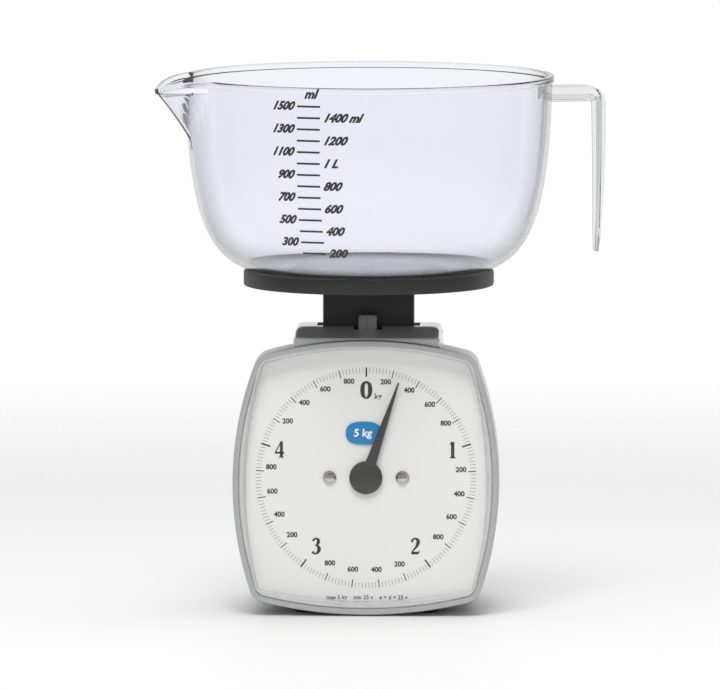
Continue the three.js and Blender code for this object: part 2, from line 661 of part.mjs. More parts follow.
function pointer() {
  const back = -DIAL_DEPTH + 0.6;
  const crown = back + HUB_HEIGHT_ON_DIAL;
  const bladeBack = -DIAL_DEPTH + GAP + DIAL_SCREW_DOME + POINTER_CLEARANCE;
  const hub = turned([[0, back], [HUB_RADIUS, back], [HUB_RADIUS, back + 1], [HUB_RADIUS * 0.9, crown - 0.8],
    [HUB_RADIUS * 0.6, crown - 0.15], [0, crown]], [0, 0], 32);
  const blade = raised([[POINTER_ROOT_WIDTH / 2, 0], [POINTER_TIP_WIDTH / 2, POINTER_LENGTH],
    [-POINTER_TIP_WIDTH / 2, POINTER_LENGTH], [-POINTER_ROOT_WIDTH / 2, 0]], bladeBack,
  bladeBack + POINTER_THICKNESS);
  const bore = rod('z', SPINDLE_RADIUS + FIT, back - 1, crown - 1, [0, 0]);
  return piece('pointer', cut(hub.add(blade), [bore]), pointerBlack);
}

// The pointer's shaft, with the pinion cut in it.
const PINION_FRONT = CHASSIS_FACE - SHEET - 1.7;
const BRIDGE_FACE = PINION_FRONT - PINION_WIDTH - 0.8;

function toothedOutline() {
  const outer = PINION_PITCH_RADIUS + 0.8 * GEAR_MODULE;
  const root = PINION_PITCH_RADIUS - GEAR_MODULE;
  const pitch = (2 * Math.PI) / PINION_TEETH;
  const points = [];
  for (let tooth = 0; tooth < PINION_TEETH; tooth += 1) {
    const middle = tooth * pitch;
    [[-0.27, root], [-0.21, PINION_PITCH_RADIUS], [-0.09, outer], [0.09, outer],
      [0.21, PINION_PITCH_RADIUS], [0.27, root]].forEach(([share, radius]) => {
      const angle = middle + share * pitch;
      points.push([radius * Math.cos(angle), radius * Math.sin(angle)]);
    });
  }
  return points;
}

function pinionSpindle() {
  const front = -DIAL_DEPTH + 0.6 + HUB_HEIGHT_ON_DIAL - 1.4;
  const shaft = rod('z', SPINDLE_RADIUS, BRIDGE_FACE - SHEET - 1.5, front, [0, 0]);
  const teeth = raised(toothedOutline(), PINION_FRONT - PINION_WIDTH, PINION_FRONT);
  return piece('pinion_spindle', shaft.add(teeth), brass);
}

function spindleBush() {
  const tube = rod('z', BUSH_RADIUS, CHASSIS_FACE - SHEET - 1.2, CHASSIS_FACE + 0.2, [0, 0]);
  return piece('spindle_bush', cut(tube, [rod('z', SPINDLE_RADIUS + FIT, -30, 0, [0, 0])]), brass);
}

// ---- Chassis ---------------------------------------------------------------------------------

function chassis() {
  const w = CHASSIS_HALF_WIDTH;
  const low = (CHASSIS_FLANGE - HUB_HEIGHT) / Math.cos(TILT);
  const high = (SHELF_TOP - HUB_HEIGHT) / Math.cos(TILT);
  const back = CHASSIS_FACE - SHEET;
  const pivotDepth = (LINK_PIVOT_Y - FRONT_Y) * Math.cos(TILT) - LOWER_LINK_LEVEL * Math.sin(TILT);
  const sideBack = -pivotDepth - PIVOT_EDGE;
  const onPlate = join([
    block([-w, low, back], [w, high + 1.2, CHASSIS_FACE]),
    block([-w, LOWER_LINK_LEVEL - 6, sideBack], [-w + SHEET, UPPER_LINK_LEVEL + 7, back + 0.5]),
    block([w - SHEET, LOWER_LINK_LEVEL - 6, sideBack], [w, UPPER_LINK_LEVEL + 7, back + 0.5]),
    block([-9, -8, BRIDGE_FACE - SHEET], [4, 8, BRIDGE_FACE]),
    block([-9, -8, BRIDGE_FACE - SHEET], [-9 + SHEET, 8, back + 0.5]),
  ]);
  const shelf = block([-14, -45, SHELF_TOP - SHEET], [14, HANGER_FRONT - GAP, SHELF_TOP]);
  const foot = block([-20, -52, CHASSIS_FLANGE], [20, -18, CHASSIS_FLANGE + SHEET]);
  const behindFace = onFace(block([-200, -200, -200], [200, 200, CHASSIS_FACE]));
  const aboveFoot = block([-200, -200, CHASSIS_FLANGE], [200, 200, 400]);
  const belowShelf = block([-200, -200, -50], [200, 200, SHELF_TOP]);
  const sheetWork = join([onFace(onPlate), shelf, foot]).intersect(behindFace).intersect(aboveFoot)
    .intersect(belowShelf);
  const faceHoles = onFace(join([
    rod('z', BUSH_RADIUS + FIT, back - 3, 0, [0, 0]),
    rod('z', SPINDLE_RADIUS + FIT, BRIDGE_FACE - 5, BRIDGE_FACE + 1, [0, 0]),
    ...dialScrewPlaces.map((place) => rod('z', SCREW_RADIUS + 0.3 + FIT, back - 3, 0, place)),
  ]));
  const pinHoles = [UPPER_PIN_Z, LOWER_PIN_Z].map((z) =>
    rod('x', PIN_RADIUS + FIT, -40, 40, [LINK_PIVOT_Y, z]));
  const footHoles = chassisScrewPlaces.map((place) =>
    rod('z', SCREW_RADIUS + FIT, CHASSIS_FLANGE - 3, CHASSIS_FLANGE + 5, place, SCREW_SIDES));
  return piece('chassis', cut(sheetWork, [faceHoles, ...pinHoles, ...footHoles]), steel);
}

function crossPin(name, reach, y, z) {
  return piece(name, rod('x', PIN_RADIUS, -reach, reach, [y, z]), steel);
}

// A guide link: two arms joined by a cross strip, level when built and turned to its rest angle.
function link(name, pivotZ) {
  const half = LINK_HEIGHT / 2;
  const inner = LINK_ARM_X - SHEET;
  const arm = (x) => join([
    sidePlate([[0, -half], [LINK_LENGTH, -half], [LINK_LENGTH, half], [0, half]], x, x + SHEET),
    rod('x', half, x, x + SHEET, [0, 0]),
    rod('x', half, x, x + SHEET, [LINK_LENGTH, 0]),
  ]);
  const strip = block([-inner - 0.5, 5, -half], [inner + 0.5, 8.5, -half + SHEET]);
  const slack = LINK_END_SHORTENING / 2 + 0.05;
  const farHole = join([
    rod('x', PIN_RADIUS + FIT, -40, 40, [LINK_LENGTH - slack, 0]),
    rod('x', PIN_RADIUS + FIT, -40, 40, [LINK_LENGTH + slack, 0]),
    block([-40, LINK_LENGTH - slack, -PIN_RADIUS - FIT * 0.98],
      [40, LINK_LENGTH + slack, PIN_RADIUS + FIT * 0.98]),
  ]);
  const nearHole = rod('x', PIN_RADIUS + FIT, -40, 40, [0, 0]);
  const mesh = piece(name, cut(join([arm(-LINK_ARM_X), arm(inner), strip]), [nearHole, farHole]), steel);
  mesh.position.set(0, LINK_PIVOT_Y, pivotZ);
  mesh.rotation.x = LINK_REST_ANGLE;
  return mesh;
}

// ---- Platform, neck and load carrier ---------------------------------------------------------

const platformScrewPlaces = [[-12, 0], [12, 0]];
const carrierScrewPlaces = [[-9, 0], [9, 0]];
const SCREW_SINK = 2.2; // depth of the platform screws' recesses

function platform() {
  const r = PLATFORM_RADIUS;
  const inner = r - PLATFORM_RIM;
  const disc = turned([
    [0, PLATFORM_BOSS_BASE],
    [PLATFORM_BOSS_RADIUS, PLATFORM_BOSS_BASE],
    [PLATFORM_BOSS_RADIUS + 0.4, DISH_TOP - PLATFORM_SKIN],
    [inner - 0.2, DISH_TOP - PLATFORM_SKIN],
    [inner, PLATFORM_BASE],
    [r - 0.7, PLATFORM_BASE],
    [r, PLATFORM_BASE + 0.7],
    [r, PLATFORM_TOP - 1.2],
    [r - 0.35, PLATFORM_TOP - 0.35],
    [r - 1.2, PLATFORM_TOP],
    [inner + 0.3, PLATFORM_TOP],
    [inner - 0.5, DISH_TOP],
    [0, DISH_TOP],
  ], [0, 0], 60);
  const sinks = platformScrewPlaces.map((place) => join([
    rod('z', SCREW_HEAD + 0.6, DISH_TOP - SCREW_SINK, DISH_TOP + 5, place),
    rod('z', SCREW_RADIUS + FIT, PLATFORM_BASE - 3, DISH_TOP, place, SCREW_SIDES),
  ]));
  return piece('platform', cut(disc, sinks), darkPlastic);
}

function neck() {
  const w = NECK_WIDTH / 2;
  const t = NECK_THICKNESS / 2;
  const column = raised(roundedRectangle(-w, w, -t, t, NECK_CORNER, 3), NECK_BASE, NECK_TOP);
  const holes = [
    ...platformScrewPlaces.map((place) =>
      rod('z', SCREW_RADIUS + FIT, NECK_TOP - 11, NECK_TOP + 1, place, SCREW_SIDES)),
    ...carrierScrewPlaces.map((place) =>
      rod('z', SCREW_RADIUS + FIT, NECK_BASE - 1, NECK_BASE + 10, place, SCREW_SIDES)),
  ];
  return piece('neck', cut(column, holes), darkPlastic);
}

function loadCarrier() {
  const w = CARRIER_HALF_WIDTH;
  const webY = CARRIER_PIN_Y + 5;
  const floor = CARRIER_HOLE - 8;
  const frame = join([
    block([-w, webY, floor], [w, webY + SHEET, CARRIER_TOP]),
    block([-w, webY - CARRIER_DEPTH, floor], [-w + SHEET, webY + 0.5, CARRIER_TOP]),
    block([w - SHEET, webY - CARRIER_DEPTH, floor], [w, webY + 0.5, CARRIER_TOP]),
    block([-w, -NECK_THICKNESS / 2, CARRIER_TOP - SHEET], [w, webY + SHEET, CARRIER_TOP]),
    block([-14, SPRING_Y - 0.7, floor], [14, webY + 0.5, floor + SHEET]),
    block([-14, SPRING_Y - 0.7, floor], [14, SPRING_Y + 0.7, CARRIER_HOLE + 3.5]),
    block([2.6, RACK_ARM_FRONT, RACK_ARM_TOP - RACK_ARM_HEIGHT], [5.4, webY + 0.5, RACK_ARM_TOP]),
  ]);
  const holes = [
    ...[UPPER_PIN_Z, LOWER_PIN_Z].map((z) =>
      rod('x', PIN_RADIUS + FIT, -40, 40, [CARRIER_PIN_Y, z + CARRIER_PIN_LIFT])),
    ...[-SPRING_SPREAD, SPRING_SPREAD].map((x) =>
      rod('y', SPRING_EYE, SPRING_Y - 3, SPRING_Y + 3, [x, CARRIER_HOLE])),
    ...carrierScrewPlaces.map((place) =>
      rod('z', SCREW_RADIUS + FIT, CARRIER_TOP - 5, CARRIER_TOP + 1, place, SCREW_SIDES)),
    rod('y', 0.7 + 0.2, RACK_ARM_FRONT - 1, RACK_ARM_FRONT + 7, [RACK_SCREW_X, RACK_SCREW_Z], 12),
  ];
  return piece('load_carrier', cut(frame, holes), steel);
}

// ---- Rack, in face coordinates ---------------------------------------------------------------

const rackFront = PINION_FRONT - 1.4;
const rackBack = rackFront - RACK_WIDTH;
const RACK_TOP_V = (RACK_ARM_TOP - HUB_HEIGHT) / Math.cos(TILT) + 1;
const RACK_ARM_FRONT = FRONT_Y - rackBack * Math.cos(TILT) + RACK_TOP_V * Math.sin(TILT) + GAP;
const RACK_SCREW_X = PINION_PITCH_RADIUS + BACKLASH + RACK_DEPTH / 2 + 0.4;
const RACK_SCREW_Z = RACK_ARM_TOP - RACK_ARM_HEIGHT / 2;

function gearRack() {
  const pitch = Math.PI * GEAR_MODULE;
  const line = PINION_PITCH_RADIUS + BACKLASH;
  const root = line + GEAR_MODULE;
  const tip = line - 0.8 * GEAR_MODULE;
  const top = FULL_TRAVEL + 4;
  const points = [[line + RACK_DEPTH, -5], [line + RACK_DEPTH, RACK_TOP_V], [root, RACK_TOP_V]];
  const restShift = (REST_ANGLE / 360) * 2 * Math.PI * PINION_PITCH_RADIUS;
  const firstGap = pitch * Math.floor((top + restShift) / pitch) - restShift;
  // A pinion tooth points at the rack when the pointer is at zero, so gaps sit on whole pitches there.
  for (let middle = firstGap - pitch / 2; middle > -4.4; middle -= pitch) {
    points.push([root, middle + pitch * 0.25], [tip, middle + pitch * 0.11],
      [tip, middle - pitch * 0.11], [root, middle - pitch * 0.25]);
  }
  points.push([root, -5]);
  const bar = raised(points.reverse(), rackBack, rackFront);
  const screwHole = rod('y', 0.7 + 0.2, -80, 80, [0, 0], 12);
  const hole = screwHole.translate([RACK_SCREW_X, 0, RACK_SCREW_Z])
    .transform(faceMatrix.clone().invert().elements);
  return piece('gear_rack', cut(bar, [hole]), brass);
}

function rackScrew() {
  const face = FRONT_Y - rackFront * Math.cos(TILT) + ((RACK_SCREW_Z - HUB_HEIGHT) * Math.sin(TILT)) - 0.6;
  const body = join([
    rod('y', 1.2, face - 0.9, face, [RACK_SCREW_X, RACK_SCREW_Z], 16),
    rod('y', 0.6, face - 0.5, RACK_ARM_FRONT + 5, [RACK_SCREW_X, RACK_SCREW_Z], 12),
  ]);
  return piece('rack_screw', body, steel);
}

// ---- Springs and zero adjustment -------------------------------------------------------------

class ExtensionSpringPath extends THREE.Curve {
  constructor(low, high, turns, radius) {
    super();
    const hook = 5.5;
    const coilLow = low + hook + 2;
    const coilHigh = high - hook - 2;
    const points = [];
    const steps = turns * 8;
    for (let i = 0; i <= steps; i += 1) {
      const angle = (i / 8) * 2 * Math.PI + Math.PI / 2;
      points.push(new THREE.Vector3(radius * Math.cos(angle), radius * Math.sin(angle),
        coilLow + ((coilHigh - coilLow) * i) / steps));
    }
    const end = (z, way) => [
      new THREE.Vector3(-way * 0.5, 2.4, z - way * 6.6),
      new THREE.Vector3(0, -1, z - way * 5.4),
      new THREE.Vector3(0, -2.4, z - way * 3.6),
      new THREE.Vector3(0, -2.5, z - way * 1.2),
      new THREE.Vector3(0, -1.5, z + way * 0.35),
      new THREE.Vector3(0, 0, z + way * 0.5),
      new THREE.Vector3(0, 1.6, z + way * 0.1),
    ];
    this.path = new THREE.CatmullRomCurve3([...end(low, -1).reverse(), ...points, ...end(high, 1)]);
  }

  getPoint(t, target = new THREE.Vector3()) {
    return this.path.getPoint(t, target);
  }
}

function mainSpring(name, x) {
  const path = new ExtensionSpringPath(CARRIER_HOLE, HANGER_HOLE, SPRING_TURNS, SPRING_COIL_RADIUS);
  const section = new THREE.Shape(Array.from({ length: 5 }, (_, i) => new THREE.Vector2(
    SPRING_WIRE_RADIUS * Math.cos(0.4 * i * Math.PI), SPRING_WIRE_RADIUS * Math.sin(0.4 * i * Math.PI),
  )));
  const geometry = new THREE.ExtrudeGeometry(section, {
    steps: SPRING_TURNS * 8 + 20, extrudePath: path, bevelEnabled: false,
  });
  const mesh = piece(name, upright(solid(geometry)), springSteel);
  mesh.position.set(x, SPRING_Y, 0);
  return mesh;
}

const HANGER_BACK = SPRING_Y + 0.7;
const HANGER_FRONT = SPRING_Y - 0.5;
const wedgeTop = (x) => WEDGE_MID + WEDGE_SLOPE * x;
const WEDGE_HALF_LENGTH = 11.5;
const FINGER_X = 8;
const FINGER_HALF_WIDTH = 1.2;
const WEDGE_FRONT = -TAB_FRONT + 0.3;
const WEDGE_BACK = HANGER_FRONT - 2 * GAP;

// An outline in the XZ plane, carried along Y.
function frontPlate(points, from, to) {
  const shape = new THREE.Shape(points.map(([x, z]) => new THREE.Vector2(x, z)));
  const geometry = new THREE.ExtrudeGeometry(shape, { depth: to - from, bevelEnabled: false });
  geometry.rotateX(Math.PI / 2);
  geometry.translate(0, to, 0);
  return solid(geometry);
}

// The thumb tab, its stem through the notch, and the wedge bar that it slides.
function zeroSlider() {
  const w = TAB_WIDTH / 2;
  const top = HOUSING_TOP + TAB_HEIGHT;
  const tabBack = -NECK_THICKNESS / 2 - 0.9;
  const tab = raised(roundedRectangle(-w, w, -TAB_FRONT, tabBack, 0.8, 3), HOUSING_TOP - 1.5, top - 0.6);
  const crown = raised(roundedRectangle(-w + 0.5, w - 0.5, -TAB_FRONT + 0.5, tabBack - 0.5, 0.6, 3),
    top - 0.7, top);
  const index = block([-0.15, -TAB_FRONT - 1, HOUSING_TOP + 0.5], [0.15, -TAB_FRONT + 0.35, top + 1]);
  const stem = block([-3.2, WEDGE_FRONT, WEDGE_BASE + 0.5], [3.2, WEDGE_BACK, HOUSING_TOP]);
  const wedge = frontPlate([
    [-WEDGE_HALF_LENGTH, WEDGE_BASE],
    [WEDGE_HALF_LENGTH, WEDGE_BASE],
    [WEDGE_HALF_LENGTH, wedgeTop(WEDGE_HALF_LENGTH)],
    [-WEDGE_HALF_LENGTH, wedgeTop(-WEDGE_HALF_LENGTH)],
  ], WEDGE_FRONT, WEDGE_BACK);
  return piece('zero_slider', cut(join([tab, crown, stem, wedge]), [index]), greyPlastic);
}

// The plate that holds the springs' tops, resting on the wedge by two fingers.
function springHanger() {
  const top = WEDGE_MID + WEDGE_SLOPE * WEDGE_HALF_LENGTH + 1.5;
  const plate = block([-14, HANGER_FRONT, HANGER_HOLE - 3.5], [14, HANGER_BACK, top]);
  const finger = (x) => {
    const [a, b] = [x - FINGER_HALF_WIDTH, x + FINGER_HALF_WIDTH];
    return frontPlate([[a, wedgeTop(a) + GAP], [b, wedgeTop(b) + GAP], [b, top], [a, top]],
      WEDGE_FRONT, HANGER_BACK);
  };
  const holes = [-SPRING_SPREAD, SPRING_SPREAD].map((x) =>
    rod('y', SPRING_EYE, HANGER_FRONT - 2, HANGER_BACK + 2, [x, HANGER_HOLE]));
  return piece('spring_hanger', cut(join([plate, finger(-FINGER_X), finger(FINGER_X)]), holes), steel);
}

// ---- Measuring bowl --------------------------------------------------------------------------

// Points up the bowl's outside: the heel's arc, then one smooth curve to the rim.
function bowlSide() {
  const heel = THREE.MathUtils.degToRad(BOWL_HEEL_ANGLE);
  const centre = new THREE.Vector2(BOWL_FLAT_RADIUS, BOWL_BASE + BOWL_HEEL_RADIUS);
  const arc = Array.from({ length: 4 }, (_, i) => {
    const angle = (heel * i) / 3;
    return new THREE.Vector2(centre.x + BOWL_HEEL_RADIUS * Math.sin(angle),
      centre.y - BOWL_HEEL_RADIUS * Math.cos(angle));
  });
  const start = arc[arc.length - 1];
  const end = new THREE.Vector2(BOWL_TOP_RADIUS, BOWL_TOP - RIM_HEIGHT);
  const wall = new THREE.CubicBezierCurve(
    start,
    new THREE.Vector2(start.x + 14 * Math.cos(heel), start.y + 14 * Math.sin(heel)),
    new THREE.Vector2(BOWL_TOP_RADIUS - 1, end.y - 50),
    end,
  );
  return [...arc, ...wall.getPoints(7).slice(1)];
}

// The same points moved inwards by the wall's thickness, square to the surface.
function insideOf(points) {
  return points.map((point, i) => {
    const before = points[Math.max(i - 1, 0)];
    const after = points[Math.min(i + 1, points.length - 1)];
    const direction = i === 0 ? new THREE.Vector2(1, 0) : after.clone().sub(before).normalize();
    return new THREE.Vector2(point.x - direction.y * BOWL_WALL, point.y + direction.x * BOWL_WALL);
  });
}

// How much of the spout's full pull a point of the bowl gets.
function spoutPull(x, y, z) {
  const away = THREE.MathUtils.degToRad(SPOUT_ANGLE);
  const turn = Math.atan2(y, x) - away;
  const off = Math.abs(Math.atan2(Math.sin(turn), Math.cos(turn)));
  const across = Math.max(0, 1 - off / THREE.MathUtils.degToRad(SPOUT_HALF_ANGLE)) ** 1.15;
  const up = THREE.MathUtils.clamp((z - BOWL_TOP + SPOUT_DEPTH) / SPOUT_DEPTH, 0, 1) ** 1.6;
  return across * up;
}

function bowlBody() {
  const outside = bowlSide();
  const inside = insideOf(outside);
  const rimOuter = BOWL_TOP_RADIUS + RIM_WIDTH;
  const rimInner = inside[inside.length - 1].x;
  const profile = [
    new THREE.Vector2(0, BOWL_BASE),
    ...outside,
    new THREE.Vector2(rimOuter, BOWL_TOP - RIM_HEIGHT + 0.3),
    new THREE.Vector2(rimOuter, BOWL_TOP - 0.5),
    new THREE.Vector2(rimOuter - 0.6, BOWL_TOP),
    new THREE.Vector2(rimInner + 0.5, BOWL_TOP),
    ...inside.reverse(),
    new THREE.Vector2(0, BOWL_BASE + BOWL_WALL),
  ];
  const geometry = new THREE.LatheGeometry(profile, 60);
  geometry.rotateX(Math.PI / 2);
  geometry.rotateZ(THREE.MathUtils.degToRad(SPOUT_ANGLE + 90));
  const position = geometry.attributes.position;
  for (let i = 0; i < position.count; i += 1) {
    const [x, y, z] = [position.getX(i), position.getY(i), position.getZ(i)];
    const pull = spoutPull(x, y, z);
    const stretch = 1 + (SPOUT_REACH * pull) / Math.max(Math.hypot(x, y), 1);
    position.setXYZ(i, x * stretch, y * stretch, z - SPOUT_DROP * pull ** 2);
  }
  return upright(solid(geometry));
}

// The strap handle, drawn in its own upright plane and turned to its side of the bowl.
function bowlHandle() {
  const armTop = BOWL_TOP - 6.6;
  const tip = armTop - HANDLE_LENGTH;
  const outer = (z) => HANDLE_REACH - 1.9 * ((armTop - z) / HANDLE_LENGTH) ** 2;
  const thickness = (z) => HANDLE_THICKNESS - 1.1 * ((armTop - z) / HANDLE_LENGTH);
  const root = BOWL_TOP_RADIUS - BOWL_WALL / 2;
  const levels = Array.from({ length: 10 }, (_, i) =>
    armTop - HANDLE_BEND - (i * (HANDLE_LENGTH - HANDLE_BEND)) / 9);
  const bend = (radius, cx, cz) => [75, 50, 25].map((degrees) => {
    const angle = THREE.MathUtils.degToRad(degrees);
    return [cx + radius * Math.cos(angle), cz + radius * Math.sin(angle)];
  });
  const cx = HANDLE_REACH - HANDLE_BEND;
  const cz = armTop - HANDLE_BEND;
  const innerBend = HANDLE_BEND - HANDLE_THICKNESS;
  const outline = [
    [root, armTop],
    [cx, armTop],
    ...bend(HANDLE_BEND, cx, cz),
    ...levels.map((z) => [outer(z), z]),
    ...levels.reverse().map((z) => [outer(z) - thickness(z), z]),
    ...bend(innerBend, cx, cz - (HANDLE_ARM_THICKNESS - HANDLE_THICKNESS)).reverse(),
    [cx, armTop - HANDLE_ARM_THICKNESS],
    [root, armTop - HANDLE_ARM_THICKNESS],
  ];
  const shape = new THREE.Shape(outline.map(([r, z]) => new THREE.Vector2(r, z)));
  const geometry = new THREE.ExtrudeGeometry(shape, { depth: HANDLE_WIDTH, bevelEnabled: false });
  geometry.translate(0, 0, -HANDLE_WIDTH / 2);
  geometry.rotateX(Math.PI / 2);
  const position = geometry.attributes.position;
  for (let i = 0; i < position.count; i += 1) {
    const down = THREE.MathUtils.clamp((cz - position.getZ(i)) / (cz - tip), 0, 1);
    const share = 1 - (1 - HANDLE_TIP_WIDTH / HANDLE_WIDTH) * down ** 1.6;
    position.setY(i, position.getY(i) * share);
  }
  geometry.rotateZ(THREE.MathUtils.degToRad(HANDLE_ANGLE));
  return upright(solid(geometry));
}

function measuringBowl() {
  return piece('measuring_bowl', bowlBody().add(bowlHandle()), clear);
}

// ---- Assembly --------------------------------------------------------------------------------

const face = new THREE.Group();
face.position.set(0, FRONT_Y, HUB_HEIGHT);
face.rotation.x = Math.PI / 2 - TILT;

const pointerParts = new THREE.Group();
pointerParts.rotation.z = -THREE.MathUtils.degToRad(REST_ANGLE);
pointerParts.add(pointer(), pinionSpindle());

face.add(
  bezelRing(),
  dialWindow(),
  dialPlate(),
  dialBadge(),
  dialScrew('dial_screw_left', dialScrewPlaces[0]),
  dialScrew('dial_screw_right', dialScrewPlaces[1]),
  spindleBush(),
  gearRack(),
  pointerParts,
);

const scale = new THREE.Group();
scale.add(rearHousing(), hood(), basePlate(), face, chassis(), platform(), neck(), loadCarrier(), rackScrew());
Object.entries(FEET).forEach(([name, place]) => scale.add(foot(name, place)));
['front_left', 'front_right', 'rear_left', 'rear_right'].forEach((corner, i) =>
  scale.add(panScrew(`base_screw_${corner}`, baseScrewPlaces[i], BASE_LIFT - GAP, 10.5, 1)));
['left', 'right'].forEach((side, i) => {
  scale.add(
    panScrew(`hood_screw_${side}`, hoodScrewPlaces[i], HOOD_SCREW_HEAD_TOP, 7.7, 1),
    panScrew(`chassis_screw_${side}`, chassisScrewPlaces[i], CHASSIS_FLANGE + SHEET + GAP, 6.5, -1),
    panScrew(`carrier_screw_${side}`, carrierScrewPlaces[i], CARRIER_TOP - SHEET - GAP, 10, 1),
    panScrew(`platform_screw_${side}`, platformScrewPlaces[i], DISH_TOP - SCREW_SINK + GAP, 13, -1),
  );
});
scale.add(
  crossPin('upper_chassis_pin', CHASSIS_HALF_WIDTH + 1.5, LINK_PIVOT_Y, UPPER_PIN_Z),
  crossPin('lower_chassis_pin', CHASSIS_HALF_WIDTH + 1.5, LINK_PIVOT_Y, LOWER_PIN_Z),
  crossPin('upper_carrier_pin', LINK_ARM_X + 1.5, CARRIER_PIN_Y, UPPER_PIN_Z + CARRIER_PIN_LIFT),
  crossPin('lower_carrier_pin', LINK_ARM_X + 1.5, CARRIER_PIN_Y, LOWER_PIN_Z + CARRIER_PIN_LIFT),
  link('upper_link', UPPER_PIN_Z),
  link('lower_link', LOWER_PIN_Z),
  mainSpring('spring_left', -SPRING_SPREAD),
  mainSpring('spring_right', SPRING_SPREAD),
  zeroSlider(),
  springHanger(),
  measuringBowl(),
);

// The bowl's spout and handle reach furthest along X, so they set the footprint's middle.
const bowlMesh = scale.getObjectByName('measuring_bowl');
bowlMesh.geometry.computeBoundingBox();
const { min, max } = bowlMesh.geometry.boundingBox;
scale.position.x = -(min.x + max.x) / 2;

export default scale;
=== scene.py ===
import json
import math

import bmesh
import bpy
from mathutils import Matrix, Vector


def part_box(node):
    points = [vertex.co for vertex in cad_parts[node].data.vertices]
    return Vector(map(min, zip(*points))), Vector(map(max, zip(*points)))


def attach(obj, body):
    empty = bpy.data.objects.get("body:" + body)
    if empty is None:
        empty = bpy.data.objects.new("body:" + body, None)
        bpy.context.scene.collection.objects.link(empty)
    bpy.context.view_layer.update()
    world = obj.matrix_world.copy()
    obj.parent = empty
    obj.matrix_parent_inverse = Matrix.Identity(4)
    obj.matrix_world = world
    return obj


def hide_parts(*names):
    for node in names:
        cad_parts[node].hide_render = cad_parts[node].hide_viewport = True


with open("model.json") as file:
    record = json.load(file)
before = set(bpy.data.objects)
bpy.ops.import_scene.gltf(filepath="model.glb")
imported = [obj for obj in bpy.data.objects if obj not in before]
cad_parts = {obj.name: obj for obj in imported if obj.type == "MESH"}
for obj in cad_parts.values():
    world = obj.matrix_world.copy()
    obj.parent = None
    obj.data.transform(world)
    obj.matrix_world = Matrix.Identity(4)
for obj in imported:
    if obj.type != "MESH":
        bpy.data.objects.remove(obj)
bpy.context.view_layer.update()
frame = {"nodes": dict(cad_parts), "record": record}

# A mechanical kitchen scale: silver housing with a leaning dial, dark platform on a flat neck,
# and a clear measuring bowl. Sizes in the making functions are millimetres; MM turns them to metres.

MM = 0.001

platform_low, platform_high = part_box("platform")
bowl_low, bowl_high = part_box("measuring_bowl")
AXIS = (platform_low.x + platform_high.x) / 2 / MM
joints = {joint["name"]: joint for joint in frame["record"]["behaviour"]["joints"]}
HUB = Vector(joints["pointer_turn"]["pos_m"])
FACE_OUT = -Vector(joints["pointer_turn"]["axis"]).normalized()
FACE_UP = FACE_OUT.cross(Vector((1, 0, 0)))
TILT = math.asin(FACE_OUT.z)


# ---- Meshes ----------------------------------------------------------------------------------

def finish_piece(name, bm, material, crease=32, recalc=True):
    """A bmesh becomes a smooth-shaded piece with sharp edges where faces meet steeply."""
    bmesh.ops.remove_doubles(bm, verts=bm.verts, dist=1e-7)
    if recalc:
        bmesh.ops.recalc_face_normals(bm, faces=bm.faces)
    limit = math.radians(crease)
    for edge in bm.edges:
        edge.smooth = edge.calc_face_angle(0) < limit
    for face in bm.faces:
        face.smooth = True
    mesh = bpy.data.meshes.new(name)
    bm.to_mesh(mesh)
    bm.free()
    mesh.materials.append(material)
    piece = bpy.data.objects.new(name, mesh)
    bpy.context.scene.collection.objects.link(piece)
    return piece


def add_rings(bm, rings, closed=False, cap_start=False, cap_end=False):
    """Skins a row of equally long rings of points."""
    rows = [[bm.verts.new(Vector(p) * MM) for p in ring] for ring in rings]
    pairs = list(zip(rows, rows[1:]))
    if closed:
        pairs.append((rows[-1], rows[0]))
    for low, high in pairs:
        for i in range(len(low)):
            j = (i + 1) % len(low)
            bm.faces.new((low[i], low[j], high[j], high[i]))
    for wanted, row in ((cap_start, rows[0]), (cap_end, rows[-1])):
        if wanted:
            middle = sum((v.co for v in row), Vector()) / len(row)
            centre = bm.verts.new(middle)
            for i in range(len(row)):
                bm.faces.new((row[i], row[(i + 1) % len(row)], centre))
    return rows


def lathe_rings(profile, segments, centre=(0.0, 0.0)):
    """[radius, height] points turned about the upright axis through centre."""
    angles = [2 * math.pi * i / segments for i in range(segments)]
    return [[(AXIS + centre[0] + r * math.cos(a), centre[1] + r * math.sin(a), z) for a in angles]
            for r, z in profile]


def turned_piece(name, profile, material, segments=160, centre=(0.0, 0.0), crease=32):
    bm = bmesh.new()
    add_rings(bm, lathe_rings(profile, segments, centre), cap_start=True, cap_end=True)
    return finish_piece(name, bm, material, crease)


def face_point(u, v, out):
    """A point given across, up and out of the dial's face."""
    return (HUB + Vector((u, 0, 0)) * MM + FACE_UP * (v * MM) + FACE_OUT * (out * MM)) / MM


def carve(piece, cutters):
    """Cuts solids out of a piece and leaves it a plain mesh."""
    for cutter in cutters:
        step = piece.modifiers.new("cut", "BOOLEAN")
        step.operation = "DIFFERENCE"
        step.solver = "EXACT"
        step.object = cutter
    settle(piece)
    for cutter in cutters:
        bpy.data.objects.remove(cutter)
    return piece


def settle(piece, crease=32):
    """Bakes a piece's modifiers into its mesh."""
    graph = bpy.context.evaluated_depsgraph_get()
    baked = bpy.data.meshes.new_from_object(piece.evaluated_get(graph), depsgraph=graph)
    piece.modifiers.clear()
    materials = list(piece.data.materials)
    piece.data = baked
    if not baked.materials:
        for material in materials:
            baked.materials.append(material)
    bm = bmesh.new()
    bm.from_mesh(baked)
    limit = math.radians(crease)
    for edge in bm.edges:
        edge.smooth = edge.calc_face_angle(0) < limit
    for face in bm.faces:
        face.smooth = True
    bm.to_mesh(baked)
    bm.free()
    return piece


